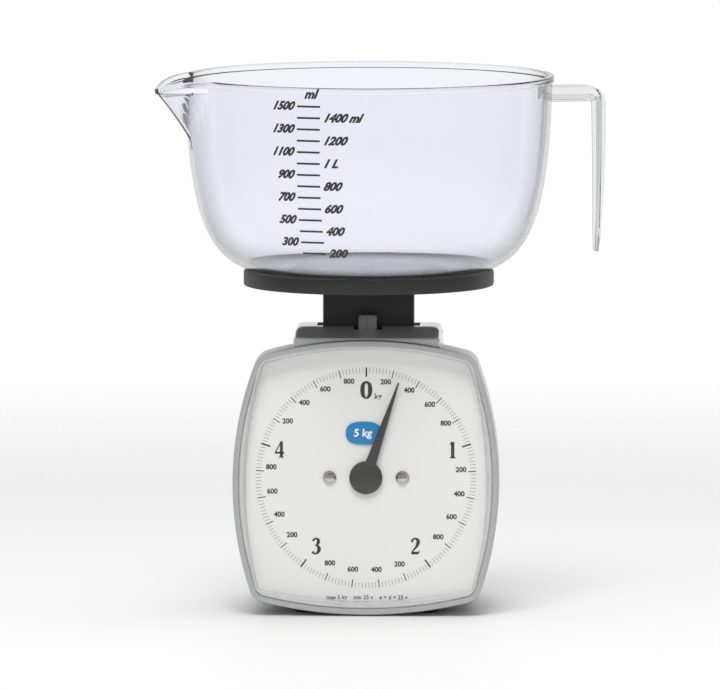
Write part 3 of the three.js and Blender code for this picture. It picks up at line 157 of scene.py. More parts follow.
def cutter_block(low, high):
    bm = bmesh.new()
    rings = [[(AXIS + low[0], low[1], z), (AXIS + high[0], low[1], z), (AXIS + high[0], high[1], z),
              (AXIS + low[0], high[1], z)] for z in (low[2], high[2])]
    add_rings(bm, rings, cap_start=True, cap_end=True)
    return finish_piece("cutter", bm, bare)


def cutter_rod(x, y, radius, low, high):
    bm = bmesh.new()
    add_rings(bm, lathe_rings([(radius, low), (radius, high)], 32, (x, y)), cap_start=True, cap_end=True)
    return finish_piece("cutter", bm, bare)


bare = bpy.data.materials.new("bare")


# ---- Finishes --------------------------------------------------------------------------------

def new_group(name, inputs, outputs):
    """An empty shader group. inputs are (name, kind, value); outputs are (name, kind)."""
    group = bpy.data.node_groups.new(name, "ShaderNodeTree")
    for label, kind, value in inputs:
        socket = group.interface.new_socket(name=label, in_out="INPUT", socket_type=kind)
        socket.default_value = value
    for label, kind in outputs:
        group.interface.new_socket(name=label, in_out="OUTPUT", socket_type=kind)
    return group, group.nodes.new("NodeGroupInput"), group.nodes.new("NodeGroupOutput")


def add_node(tree, kind, values=None, **settings):
    node = tree.nodes.new(kind)
    for key, value in settings.items():
        setattr(node, key, value)
    for key, value in (values or {}).items():
        node.inputs[key].default_value = value
    return node


def make_moulded_grain():
    """Fine unevenness of a moulded or painted surface."""
    group, given, result = new_group(
        "Moulded Grain",
        [("Scale", "NodeSocketFloat", 900.0), ("Cloud Scale", "NodeSocketFloat", 30.0)],
        [("Height", "NodeSocketFloat"), ("Cloud", "NodeSocketFloat")])
    place = add_node(group, "ShaderNodeTexCoord")
    fine = add_node(group, "ShaderNodeTexNoise", {"Detail": 3.0, "Roughness": 0.6})
    broad = add_node(group, "ShaderNodeTexNoise", {"Detail": 2.0, "Roughness": 0.5})
    group.links.new(place.outputs["Object"], fine.inputs["Vector"])
    group.links.new(place.outputs["Object"], broad.inputs["Vector"])
    group.links.new(given.outputs["Scale"], fine.inputs["Scale"])
    group.links.new(given.outputs["Cloud Scale"], broad.inputs["Scale"])
    group.links.new(fine.outputs["Fac"], result.inputs["Height"])
    group.links.new(broad.outputs["Fac"], result.inputs["Cloud"])
    return group


def make_edge_rub():
    """Where handling has polished or lightened the outer edges."""
    group, given, result = new_group(
        "Edge Rub",
        [("Start", "NodeSocketFloat", 0.52), ("Full", "NodeSocketFloat", 0.6),
         ("Patch Scale", "NodeSocketFloat", 120.0)],
        [("Mask", "NodeSocketFloat")])
    shape = add_node(group, "ShaderNodeNewGeometry")
    place = add_node(group, "ShaderNodeTexCoord")
    patch = add_node(group, "ShaderNodeTexNoise", {"Detail": 4.0})
    spread = add_node(group, "ShaderNodeMapRange")
    mixed = add_node(group, "ShaderNodeMath", operation="MULTIPLY")
    group.links.new(shape.outputs["Pointiness"], spread.inputs["Value"])
    group.links.new(given.outputs["Start"], spread.inputs["From Min"])
    group.links.new(given.outputs["Full"], spread.inputs["From Max"])
    group.links.new(place.outputs["Object"], patch.inputs["Vector"])
    group.links.new(given.outputs["Patch Scale"], patch.inputs["Scale"])
    group.links.new(spread.outputs["Result"], mixed.inputs[0])
    group.links.new(patch.outputs["Fac"], mixed.inputs[1])
    group.links.new(mixed.outputs[0], result.inputs["Mask"])
    return group


def make_shelf_dust():
    """Thin dust that gathers on faces that look up."""
    group, given, result = new_group(
        "Shelf Dust",
        [("Amount", "NodeSocketFloat", 0.1), ("Scale", "NodeSocketFloat", 60.0)],
        [("Mask", "NodeSocketFloat")])
    shape = add_node(group, "ShaderNodeNewGeometry")
    split = add_node(group, "ShaderNodeSeparateXYZ")
    upward = add_node(group, "ShaderNodeMapRange", {"From Min": 0.3, "From Max": 1.0})
    place = add_node(group, "ShaderNodeTexCoord")
    speckle = add_node(group, "ShaderNodeTexNoise", {"Detail": 6.0, "Roughness": 0.7})
    patchy = add_node(group, "ShaderNodeMapRange", {"From Min": 0.4, "From Max": 0.75})
    first = add_node(group, "ShaderNodeMath", operation="MULTIPLY")
    second = add_node(group, "ShaderNodeMath", operation="MULTIPLY")
    group.links.new(shape.outputs["Normal"], split.inputs[0])
    group.links.new(split.outputs["Z"], upward.inputs["Value"])
    group.links.new(place.outputs["Object"], speckle.inputs["Vector"])
    group.links.new(given.outputs["Scale"], speckle.inputs["Scale"])
    group.links.new(speckle.outputs["Fac"], patchy.inputs["Value"])
    group.links.new(upward.outputs["Result"], first.inputs[0])
    group.links.new(patchy.outputs["Result"], first.inputs[1])
    group.links.new(first.outputs[0], second.inputs[0])
    group.links.new(given.outputs["Amount"], second.inputs[1])
    group.links.new(second.outputs[0], result.inputs["Mask"])
    return group


def make_drawn_lines():
    """Fine lines left by rolling, drawing or turning metal along one direction."""
    group, given, result = new_group(
        "Drawn Lines",
        [("Stretch", "NodeSocketVector", (40.0, 40.0, 2400.0)), ("Scale", "NodeSocketFloat", 1.0)],
        [("Line", "NodeSocketFloat")])
    place = add_node(group, "ShaderNodeTexCoord")
    stretch = add_node(group, "ShaderNodeVectorMath", operation="MULTIPLY")
    lines = add_node(group, "ShaderNodeTexNoise", {"Detail": 5.0, "Roughness": 0.65})
    group.links.new(place.outputs["Object"], stretch.inputs[0])
    group.links.new(given.outputs["Stretch"], stretch.inputs[1])
    group.links.new(stretch.outputs[0], lines.inputs["Vector"])
    group.links.new(given.outputs["Scale"], lines.inputs["Scale"])
    group.links.new(lines.outputs["Fac"], result.inputs["Line"])
    return group


MOULDED_GRAIN = make_moulded_grain()
EDGE_RUB = make_edge_rub()
SHELF_DUST = make_shelf_dust()
DRAWN_LINES = make_drawn_lines()


def place_group(tree, group, **values):
    node = tree.nodes.new("ShaderNodeGroup")
    node.node_tree = group
    for label, value in values.items():
        node.inputs[label.replace("_", " ")].default_value = value
    return node


def blend_colours(tree, factor, base, other):
    """Colour socket that goes from base to other by a mask socket."""
    mix = tree.nodes.new("ShaderNodeMix")
    mix.data_type = "RGBA"
    tree.links.new(factor, mix.inputs[0])
    for socket, value in ((mix.inputs[6], base), (mix.inputs[7], other)):
        if isinstance(value, tuple):
            socket.default_value = (*value, 1)
        else:
            tree.links.new(value, socket)
    return mix.outputs[2]


def finish_of(name, colour, roughness, metallic=0.0, coat=0.0, grain=900.0, bump=0.02, cloud=30.0,
              uneven=0.06, rub=0.25, rub_colour=None, dust=0.1, dust_colour=(0.6, 0.59, 0.57),
              lines=None, ior=1.5, tint_drift=0.06):
    """A moulded, painted or metal finish with grain, handling marks and a little dust."""
    material = bpy.data.materials.new(name)
    material.use_nodes = True
    tree = material.node_tree
    shader = tree.nodes["Principled BSDF"]
    shader.inputs["Metallic"].default_value = metallic
    shader.inputs["IOR"].default_value = ior
    shader.inputs["Coat Weight"].default_value = coat
    shader.inputs["Coat Roughness"].default_value = 0.12
    grain_node = place_group(tree, MOULDED_GRAIN, Scale=grain, Cloud_Scale=cloud)
    rub_node = place_group(tree, EDGE_RUB)
    dust_node = place_group(tree, SHELF_DUST, Amount=dust)
    deep = tuple(c * (1 - tint_drift) for c in colour)
    lifted = tuple(min(1.0, c * (1 + tint_drift)) for c in colour)
    drift = blend_colours(tree, grain_node.outputs["Cloud"], deep, lifted)
    soft_rub = add_node(tree, "ShaderNodeMath", operation="MULTIPLY")
    soft_rub.inputs[1].default_value = rub
    tree.links.new(rub_node.outputs["Mask"], soft_rub.inputs[0])
    edge = rub_colour or tuple(min(1.0, c * 1.5 + 0.05) for c in colour)
    rubbed = blend_colours(tree, soft_rub.outputs[0], drift, edge)
    dusty = blend_colours(tree, dust_node.outputs["Mask"], rubbed, dust_colour)
    tree.links.new(dusty, shader.inputs["Base Color"])
    rough = add_node(tree, "ShaderNodeMapRange")
    rough.inputs["To Min"].default_value = roughness - uneven
    rough.inputs["To Max"].default_value = roughness + uneven
    rough.inputs["From Min"].default_value = 0.3
    rough.inputs["From Max"].default_value = 0.7
    height = grain_node.outputs["Height"]
    source = grain_node.outputs["Cloud"]
    if lines:
        line_node = place_group(tree, DRAWN_LINES, Stretch=lines)
        height = line_node.outputs["Line"]
        source = line_node.outputs["Line"]
    tree.links.new(source, rough.inputs["Value"])
    dulled = add_node(tree, "ShaderNodeMath", operation="MULTIPLY_ADD")
    dulled.inputs[1].default_value = 0.4
    tree.links.new(dust_node.outputs["Mask"], dulled.inputs[0])
    tree.links.new(rough.outputs["Result"], dulled.inputs[2])
    tree.links.new(dulled.outputs[0], shader.inputs["Roughness"])
    relief = add_node(tree, "ShaderNodeBump")
    relief.inputs["Strength"].default_value = 0.5
    relief.inputs["Distance"].default_value = bump * MM
    tree.links.new(height, relief.inputs["Height"])
    tree.links.new(relief.outputs["Normal"], shader.inputs["Normal"])
    return material


def clear_finish(name, tint, roughness, ior, cover, shadow_cover, painted_edge_shade, painted_shade_start=0.55):
    """Clear moulded plastic, with painted shade that darkens its colour where it is seen edge-on.

    cover is how solid it looks and shadow_cover how much light it stops.
    """
    material = bpy.data.materials.new(name)
    material.use_nodes = True
    tree = material.node_tree
    shader = tree.nodes["Principled BSDF"]
    shader.inputs["Metallic"].default_value = 0.0
    shader.inputs["IOR"].default_value = ior
    shader.inputs["Transmission Weight"].default_value = 1.0
    grain_node = place_group(tree, MOULDED_GRAIN, Scale=45.0, Cloud_Scale=14.0)
    deep = tuple(c * 0.985 for c in tint)
    body = blend_colours(tree, grain_node.outputs["Cloud"], deep, tint)
    # Painted shade: a facing mask turns the colour towards a dark edge colour at grazing angles, standing in for the
    # dark refraction edges.
    facing = add_node(tree, "ShaderNodeLayerWeight", {"Blend": 0.5})
    painted_shade_mask = add_node(tree, "ShaderNodeMapRange", {"From Min": painted_shade_start, "From Max": 1.0})
    tree.links.new(facing.outputs["Facing"], painted_shade_mask.inputs["Value"])
    shaded = blend_colours(tree, painted_shade_mask.outputs["Result"], body, painted_edge_shade)
    tree.links.new(shaded, shader.inputs["Base Color"])
    rough = add_node(tree, "ShaderNodeMapRange")
    rough.inputs["To Min"].default_value = roughness
    rough.inputs["To Max"].default_value = roughness + 0.03
    tree.links.new(grain_node.outputs["Cloud"], rough.inputs["Value"])
    tree.links.new(rough.outputs["Result"], shader.inputs["Roughness"])
    relief = add_node(tree, "ShaderNodeBump")
    relief.inputs["Strength"].default_value = 0.15
    relief.inputs["Distance"].default_value = 0.05 * MM
    tree.links.new(grain_node.outputs["Height"], relief.inputs["Height"])
    tree.links.new(relief.outputs["Normal"], shader.inputs["Normal"])
    path = add_node(tree, "ShaderNodeLightPath")
    either = add_node(tree, "ShaderNodeMath", operation="MAXIMUM")
    tree.links.new(path.outputs["Is Shadow Ray"], either.inputs[0])
    tree.links.new(path.outputs["Is Diffuse Ray"], either.inputs[1])
    solid = add_node(tree, "ShaderNodeMapRange")
    solid.inputs["To Min"].default_value = cover
    solid.inputs["To Max"].default_value = shadow_cover
    tree.links.new(either.outputs[0], solid.inputs["Value"])
    tree.links.new(solid.outputs["Result"], shader.inputs["Alpha"])
    return material


def ink_finish(name, colour, roughness=0.5):
    """Printing ink, a little uneven in cover."""
    return finish_of(name, colour, roughness, grain=2600.0, bump=0.004, cloud=380.0, uneven=0.05, rub=0.0,
                     dust=0.0, tint_drift=0.12)


silver_shell = finish_of("silver painted shell", (0.47, 0.475, 0.48), 0.36, metallic=0.35, coat=0.25,
                         grain=1500.0, bump=0.012, dust=0.05, rub=0.15)
silver_bezel = finish_of("silver painted bezel", (0.62, 0.62, 0.615), 0.3, metallic=0.25, coat=0.3,
                         grain=1500.0, bump=0.01, dust=0.03, rub=0.15)
silver_hood = finish_of("silver painted hood", (0.66, 0.662, 0.665), 0.2, metallic=0.4, coat=0.3, uneven=0.03,
                        grain=1500.0, bump=0.006, dust=0.03, rub=0.1)
charcoal = finish_of("charcoal moulding", (0.033, 0.033, 0.034), 0.5, grain=1100.0, bump=0.015, ior=1.35,
                     dust=0.02, rub=0.12, rub_colour=(0.14, 0.14, 0.145))
slider_grey = finish_of("grey slider moulding", (0.19, 0.19, 0.193), 0.4, grain=1100.0, bump=0.015,
                        dust=0.05, rub=0.35, rub_colour=(0.2, 0.2, 0.2))
base_grey = finish_of("grey base moulding", (0.12, 0.12, 0.125), 0.5, grain=700.0, bump=0.03, dust=0.0)
# In each clear finish the last colour and number are a painted edge shade and where it starts, darker where the
# plastic is seen edge-on.
bowl_clear = clear_finish("clear bowl moulding", (0.94, 0.947, 0.996), 0.0, 1.42, 1.0, 0.22,
                          (0.1, 0.102, 0.108), 0.5)
handle_clear = clear_finish("clear handle moulding", (0.86, 0.875, 0.88), 0.02, 1.45, 1.0, 0.15,
                            (0.08, 0.085, 0.085), 0.3)
window_clear = clear_finish("clear dial window", (0.99, 0.99, 0.99), 0.0, 1.3, 0.12, 0.03, (0.8, 0.8, 0.8))
dial_card = finish_of("off-white dial card", (0.82, 0.817, 0.79), 0.55, grain=420.0, bump=0.01, cloud=18.0,
                      rub=0.0, dust=0.03, tint_drift=0.015)
dial_black = ink_finish("dark dial ink", (0.045, 0.045, 0.045))
dial_grey = ink_finish("grey dial ink", (0.2, 0.2, 0.2))
bowl_ink = ink_finish("bowl marking ink", (0.03, 0.03, 0.035), 0.4)
badge_ink = ink_finish("white badge ink", (0.85, 0.85, 0.85), 0.4)
badge_blue = finish_of("blue badge plate", (0.015, 0.22, 0.5), 0.25, coat=0.4, grain=1400.0, bump=0.006,
                       rub=0.2, dust=0.03)
pointer_paint = finish_of("dark grey pointer paint", (0.052, 0.052, 0.05), 0.34, coat=0.2, grain=1600.0,
                          bump=0.01, rub=0.4, dust=0.04)
screw_chrome = finish_of("plated dial screws", (0.62, 0.61, 0.58), 0.16, metallic=1.0, grain=900.0, bump=0.004,
                         rub=0.0, dust=0.02)
pressed_steel = finish_of("pressed steel", (0.52, 0.53, 0.55), 0.36, metallic=1.0, bump=0.01, dust=0.0,
                          lines=(1600.0, 30.0, 30.0))
screw_steel = finish_of("screw steel", (0.5, 0.5, 0.51), 0.3, metallic=1.0, bump=0.01, dust=0.0,
                        lines=(60.0, 60.0, 2400.0))
spring_steel = finish_of("spring steel", (0.34, 0.34, 0.36), 0.28, metallic=1.0, bump=0.008, dust=0.0)
gear_brass = finish_of("gear brass", (0.6, 0.42, 0.16), 0.3, metallic=1.0, bump=0.008, dust=0.0,
                       lines=(1200.0, 1200.0, 60.0))
foot_rubber = finish_of("foot rubber", (0.022, 0.022, 0.022), 0.8, grain=500.0, bump=0.06, dust=0.2, rub=0.1)


DIAL = -6.5  # the dial card's face, behind the front plane
DIAL_SCREW_REACH = 16.5


# ---- Outlines of the leaning front -------------------------------------------------------------

# half, rise and drop are the reach sideways, up and down; side, top, bottom and corner are arc radii
FACE = {"half": 60.4, "rise": 62.2, "drop": 62.2,
        "side": 153.0, "top": 168.0, "bottom": 200.0, "corner": 7.5}
OPENING = {"half": 54.7, "rise": 58.2, "drop": 55.9,
           "side": 186.0, "top": 170.0, "bottom": 230.0, "corner": 1.6}
SIDE_MIDDLE = -2.5  # the bulging sides are widest this far below the hub
HUB_Z = HUB.z / MM
FRONT_Y = HUB.y / MM
HOUSING_TOP = HUB_Z + FACE["rise"] * math.cos(TILT)
BACK_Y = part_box("rear_housing")[1].y / MM


def outer_crossing(c1, r1, c2, r2, sx, sy):
    """Where two circles cross, on the side that sx and sy point to."""
    gap = c2 - c1
    distance = gap.length
    along = (distance ** 2 + r1 ** 2 - r2 ** 2) / (2 * distance)
    across = math.sqrt(r1 ** 2 - along ** 2)
    direction = gap / distance
    foot = c1 + direction * along
    normal = Vector((-direction.y, direction.x))
    return max((foot + normal * across, foot - normal * across), key=lambda p: p.x * sx + p.y * sy)


def bulged_outline(shape, inset, per_side=22, per_corner=8):
    """Four bulging sides joined by corner rounds, moved inwards by inset."""
    side, top, bottom, corner = shape["side"], shape["top"], shape["bottom"], shape["corner"]
    right, left = Vector((shape["half"] - side, SIDE_MIDDLE)), Vector((side - shape["half"], SIDE_MIDDLE))
    sides = [(right, side), (Vector((0, shape["rise"] - top)), top),
             (left, side), (Vector((0, bottom - shape["drop"])), bottom)]
    quadrants = [(1, 1), (-1, 1), (-1, -1), (1, -1)]
    corners = [outer_crossing(sides[i][0], sides[i][1] - corner, sides[(i + 1) % 4][0],
                              sides[(i + 1) % 4][1] - corner, *quadrants[i]) for i in range(4)]
    points = []

    def arc(centre, radius, start, end, steps):
        sweep = (end - start) % (2 * math.pi)
        for k in range(steps):
            angle = start + sweep * k / steps
            points.append((centre.x + radius * math.cos(angle), centre.y + radius * math.sin(angle)))

    def angle_to(a, b):
        return math.atan2(b.y - a.y, b.x - a.x)

    for i in range(4):
        centre, radius = sides[i]
        after = corners[i]
        arc(centre, radius - inset, angle_to(centre, corners[i - 1]), angle_to(centre, after), per_side)
        arc(after, corner - inset, angle_to(centre, after), angle_to(sides[(i + 1) % 4][0], after), per_corner)
    return points


def housing_section(shape, inset, y, tilt, lift=0.0):
    """The housing's outline in a plane that leans by tilt."""
    return [(AXIS + u, y + v * math.sin(tilt), HUB_Z + lift + v * math.cos(tilt))
            for u, v in bulged_outline(shape, inset)]


def housing_rings(inset, hollow=False):
    """Rings from the front lip to the rounded back."""
    sin, cos = math.sin(TILT), math.cos(TILT)

    def at(more, out, shape=FACE):
        return housing_section(shape, inset + more, FRONT_Y - out * cos, TILT, out * sin)

    skirt = dict(FACE, drop=FACE["drop"] - 1.2)
    if hollow:
        rings = [at(0, 3), at(0, -2), at(0, -8)]
    else:
        rings = [at(0.9, 0), at(0.45, -0.08), at(0.16, -0.35), at(0, -0.9), at(0, -1.4),
                 at(0, -4, dict(FACE, drop=61.6)), at(0, -7.6, skirt), at(0, -8, skirt)]
    start, end = FRONT_Y + 14, BACK_Y - 5
    for i in range(13):
        f = i / 12
        shape = dict(FACE, half=FACE["half"] - 9 * f * f, rise=FACE["rise"] - 13 * f * f,
                     drop=HUB_Z - 3, bottom=1500.0)
        rings.append(housing_section(shape, inset, start + (end - start) * f, TILT * (1 - f)))
    rounding = 5 - inset
    for degrees in (20, 40, 60, 75, 86):
        angle = math.radians(degrees)
        rings.append(housing_section(shape, inset + rounding * (1 - math.cos(angle)),
                                     end + rounding * math.sin(angle), 0))
    return rings


SHELL_WALL = 2.6
SLOT_X, SLOT_Y = 23.4, 8.0
NOTCH_X, NOTCH_FRONT = 6.4, -16.9


def slot_cutters(low, high):
    return [cutter_block((-SLOT_X, -SLOT_Y, low), (SLOT_X, SLOT_Y, high)),
            cutter_block((-NOTCH_X, NOTCH_FRONT, low), (NOTCH_X, 0, high))]


def housing_shell():
    bm = bmesh.new()
    outer = housing_rings(0)
    inner = housing_rings(SHELL_WALL, hollow=True)
    inner[0] = housing_section(FACE, SHELL_WALL, FRONT_Y, TILT)
    add_rings(bm, list(reversed(outer)) + inner, cap_start=True, cap_end=True)
    shell = finish_piece("housing_shell", bm, silver_shell)
    floor = cutter_block((-34.3, -36.3, -5), (34.3, 34.3, 7.6))
    return carve(shell, [floor, *slot_cutters(HOUSING_TOP - 20, HOUSING_TOP + 5)])


def round_corners(left, right, low, high, radius, steps=9):
    points = []
    for x, y, start in ((right, low, -90), (right, high, 0), (left, high, 90), (left, low, 180)):
        cx = x - math.copysign(radius, x - (left + right) / 2)
        cy = y - math.copysign(radius, y - (low + high) / 2)
        for i in range(steps + 1):
            angle = math.radians(start + 90 * i / steps)
            points.append((cx + radius * math.cos(angle), cy + radius * math.sin(angle)))
    return points


def hood_cover():
    """The raised cover round the neck's slot."""
    rise = 4.2
    slope_end = SLOT_Y + 2

    def ring(z, side, front, back, radius=4.5):
        return [(AXIS + x, y, z) for x, y in round_corners(-side, side, -front, back, radius)]

    rings = [ring(HOUSING_TOP - 12, 33.4, 30, 24), ring(HOUSING_TOP - 0.25, 33.4, 30, 24),
             ring(HOUSING_TOP - 0.08, 33.3, 29.9, 23.9), ring(HOUSING_TOP, 33.1, 29.7, 23.7),
             ring(HOUSING_TOP + 0.02, 32.95, 29.5, 23.5), ring(HOUSING_TOP + 0.3, 32.85, 29.4, 23.4)]
    for i in range(1, 13):
        f = i / 12
        bend = math.sin(f * math.pi / 2)
        rings.append(ring(HOUSING_TOP + 0.3 + (rise - 0.3) * (1 - (1 - f) ** 1.6), 32.85 - 2.9 * f ** 3,
                          29.4 - (29.4 - slope_end) * (0.35 * bend + 0.65 * f), 23.4 - (23.4 - slope_end) * f,
                          4.5 - 1.5 * f))
    bm = bmesh.new()
    add_rings(bm, rings, cap_start=True, cap_end=True)
    cover = finish_piece("hood_cover", bm, silver_hood, 24)
    grown = bmesh.new()
    add_rings(grown, housing_rings(-0.3), cap_start=True, cap_end=True)
    body = finish_piece("cutter", grown, bare)
    return carve(cover, [body, *slot_cutters(HOUSING_TOP - 20, HOUSING_TOP + 10)])


def bezel():
    """The ring let into the housing's lip, with its land and the wall that slopes in to the dial."""
    outer = [(2.68, -6.2), (2.68, -0.85), (2.95, -0.85), (3.0, -0.4), (3.12, -0.14), (3.35, 0.0)]
    inner = [(-1.35, 0.0), (-1.1, -0.05), (-0.95, -0.2), (-0.88, -0.5), (-0.1, -6.0), (0.0, -6.2)]
    loops = [(bulged_outline(FACE, inset), out) for inset, out in outer]
    loops += [(bulged_outline(OPENING, inset), out) for inset, out in inner]
    rings = [[face_point(u, v, out) for u, v in loop] for loop, out in loops]
    bm = bmesh.new()
    add_rings(bm, rings, closed=True)
    return finish_piece("bezel", bm, silver_bezel)


def face_sheet(name, shape, inset, back, front, material):
    outline = bulged_outline(shape, inset)
    bm = bmesh.new()
    add_rings(bm, [[face_point(u, v, out) for u, v in outline] for out in (back, front)], cap_start=True,
              cap_end=True)
    return finish_piece(name, bm, material)


def dial_face():
    """The card behind the pointer, with a hole for the spindle's bush and two for its screws."""
    card = face_sheet("dial_face", FACE, 2.9, DIAL - 1.0, DIAL, dial_card)
    holes = []
    for u, radius in ((0, 3.3), (-DIAL_SCREW_REACH, 1.9), (DIAL_SCREW_REACH, 1.9)):
        bm = bmesh.new()
        rings = turned_on_face([(radius, DIAL - 3), (radius, DIAL + 1)], 32, u)
        add_rings(bm, rings, cap_start=True, cap_end=True)
        holes.append(finish_piece("cutter", bm, bare))
    return carve(card, holes)


def dial_cover():
    """The clear sheet behind the bezel's land."""
    return face_sheet("dial_cover", OPENING, -0.35, -2.3, -1.1, window_clear)


# ---- Platform and bowl -------------------------------------------------------------------------

PLATFORM_TOP = platform_high.z / MM
PLATFORM_BASE = platform_low.z / MM
DISH = PLATFORM_TOP - 1.5


def weighing_platform():
    """A round plate with a shallow dish, a rim and two sunk screw holes."""
    r = 57.0
    rim = [(r - 1.2 + 1.2 * math.sin(math.radians(a)), PLATFORM_TOP - 1.2 + 1.2 * math.cos(math.radians(a)))
           for a in (90, 72, 54, 36, 18, 0)]
    profile = [(26.5, PLATFORM_BASE + 0.5), (26.9, DISH - 2.4), (54.8, DISH - 2.4), (55, PLATFORM_BASE + 0.2),
               (55.2, PLATFORM_BASE), (r - 0.9, PLATFORM_BASE), (r - 0.3, PLATFORM_BASE + 0.25),
               (r, PLATFORM_BASE + 0.9), *rim, (r - 1.5, PLATFORM_TOP), (r - 1.75, PLATFORM_TOP - 0.12),
               (r - 2.3, DISH + 0.15), (r - 2.6, DISH)]
    disc = turned_piece("weighing_platform", profile, charcoal, 200)
    cutters = []
    for x in (-12, 12):
        cutters.append(cutter_rod(x, 0, 3.2, DISH - 2.2, DISH + 5))
        cutters.append(cutter_rod(x, 0, 1.5, PLATFORM_BASE - 3, DISH))
    return carve(disc, cutters)


BOWL_BASE = bowl_low.z / MM
BOWL_TOP = bowl_high.z / MM
SPOUT_ANGLE = math.radians(193)
HANDLE_ANGLE = math.radians(13)
WALL = 2.0
FLAT_RADIUS, HEEL_RADIUS = 45.8, 29.8  # the bowl's flat bottom and the round up from it
BEND_REACH, BEND_RADIUS = 100.6, 8.0  # the handle's bend from arm to strap
STRAP_LENGTH = 68.0
ARM_DROP = 6.2  # the arm's top below the rim


def cubic(p0, p1, p2, p3, steps):
    points = []
    for i in range(1, steps + 1):
        t = i / steps
        s = 1 - t
        points.append(tuple(s ** 3 * a + 3 * s * s * t * b + 3 * s * t * t * c + t ** 3 * d
                            for a, b, c, d in zip(p0, p1, p2, p3)))
    return points


def bowl_side():
    """Points up the outside: flat bottom's edge, heel and wall."""
    heel = math.radians(43)
    turns = [heel * i / 14 for i in range(15)]
    points = [(FLAT_RADIUS + HEEL_RADIUS * math.sin(a), BOWL_BASE + HEEL_RADIUS * (1 - math.cos(a)))
              for a in turns]
    start = points[-1]
    end = (83.6, BOWL_TOP - 3.1)
    return points + cubic(start, (start[0] + 14 * math.cos(heel), start[1] + 14 * math.sin(heel)),
                          (82.6, end[1] - 50), end, 30)


def offset_in(points, wall):
    """The same line moved inwards by the wall."""
    inside = []
    for i, point in enumerate(points):
        a, b = points[max(i - 1, 0)], points[min(i + 1, len(points) - 1)]
        length = math.hypot(b[0] - a[0], b[1] - a[1])
        dx, dz = (b[0] - a[0]) / length, (b[1] - a[1]) / length
        inside.append((point[0] - dz * wall, point[1] + dx * wall))
    return inside


def spout_pull(angle, z):
    """How much of the spout's full reach a point of the wall gets."""
    off = abs(math.atan2(math.sin(angle - SPOUT_ANGLE), math.cos(angle - SPOUT_ANGLE)))
    up = min(max((z - BOWL_TOP + 29) / 27, 0.0), 1.0)
    return max(0.0, up - off / math.radians(22))


def wall_point(radius, angle, z):
    pull = spout_pull(angle, z)
    reach = radius + 14.6 * pull * min(radius / 80, 1)
    return (AXIS + reach * math.cos(angle), reach * math.sin(angle), z - 5.0 * pull * pull)


def clear_bowl():
    outside = bowl_side()
    inside = offset_in(outside, WALL)
    top = BOWL_TOP
    rim = [(83.7, top - 3.05), (84.3, top - 2.85), (84.5, top - 2.5), (84.5, top - 0.7), (84.35, top - 0.25),
           (84.0, top - 0.03), (83.5, top), (82.4, top), (81.95, top - 0.08), (81.65, top - 0.4)]
    profile = [(15, BOWL_BASE), (30, BOWL_BASE), (40, BOWL_BASE), *outside, *rim, *reversed(inside),
               (40, BOWL_BASE + WALL), (30, BOWL_BASE + WALL), (15, BOWL_BASE + WALL)]
    segments = 264
    angles = [SPOUT_ANGLE + 2 * math.pi * i / segments for i in range(segments)]
    bm = bmesh.new()
    add_rings(bm, [[wall_point(r, a, z) for a in angles] for r, z in profile], cap_start=True, cap_end=True)
    return finish_piece("clear_bowl", bm, bowl_clear, 50)


def handle_path():
    """The strap's outer line from the wall out, round the bend and down: (reach, height)."""
    arm = BOWL_TOP - ARM_DROP
    points = [(82.6, arm), (90, arm), (BEND_REACH, arm)]
    for degrees in (75, 60, 45, 30, 15):
        angle = math.radians(degrees)
        points.append((BEND_REACH + BEND_RADIUS * math.cos(angle), arm - BEND_RADIUS * (1 - math.sin(angle))))
    for i in range(13):
        down = i / 12
        points.append((BEND_REACH + BEND_RADIUS - 1.9 * down ** 2, arm - BEND_RADIUS - STRAP_LENGTH * down))
    return points


def bowl_handle():
    """A strap with a raised flange along each edge, narrowing to a rounded tip."""
    path = handle_path()
    rings = []
    total = len(path) - 1
    for i, (reach, z) in enumerate(path):
        before, after = path[max(i - 1, 0)], path[min(i + 1, total)]
        length = math.hypot(after[0] - before[0], after[1] - before[1])
        tangent = ((after[0] - before[0]) / length, (after[1] - before[1]) / length)
        inward = (tangent[1], -tangent[0])
        down = min(max((BOWL_TOP - ARM_DROP - 8.4 - z) / STRAP_LENGTH, 0), 1)
        half = 8.5 * (1 - 0.7 * down ** 1.6)
        deep = 6.8 if z > BOWL_TOP - 10 else 3.5 - 1.2 * down
        web = deep * 0.5
        if i == total:
            half, deep, web = half * 0.75, deep * 0.8, web * 0.8
        side = min(1.7, half * 0.4)
        section = [(-half + 0.4, 0), (-half * 0.5, -0.12), (half * 0.5, -0.12), (half - 0.4, 0), (half, 0.4),
                   (half, deep - 0.4), (half - 0.4, deep), (half - side + 0.3, deep), (half - side, deep - 0.3),
                   (half - side - 0.2, web), (-half + side + 0.2, web), (-half + side, deep - 0.3),
                   (-half + side - 0.3, deep), (-half + 0.4, deep), (-half, deep - 0.4), (-half, 0.4)]
        ring = []
        for across, depth in section:
            r = reach + inward[0] * depth
            ring.append((AXIS + r * math.cos(HANDLE_ANGLE) - across * math.sin(HANDLE_ANGLE),
                         r * math.sin(HANDLE_ANGLE) + across * math.cos(HANDLE_ANGLE), z + inward[1] * depth))
        rings.append(ring)
    bm = bmesh.new()
    add_rings(bm, rings, cap_start=True, cap_end=True)
    return finish_piece("bowl_handle", bm, handle_clear, 40)


# ---- Lettering and marks -----------------------------------------------------------------------

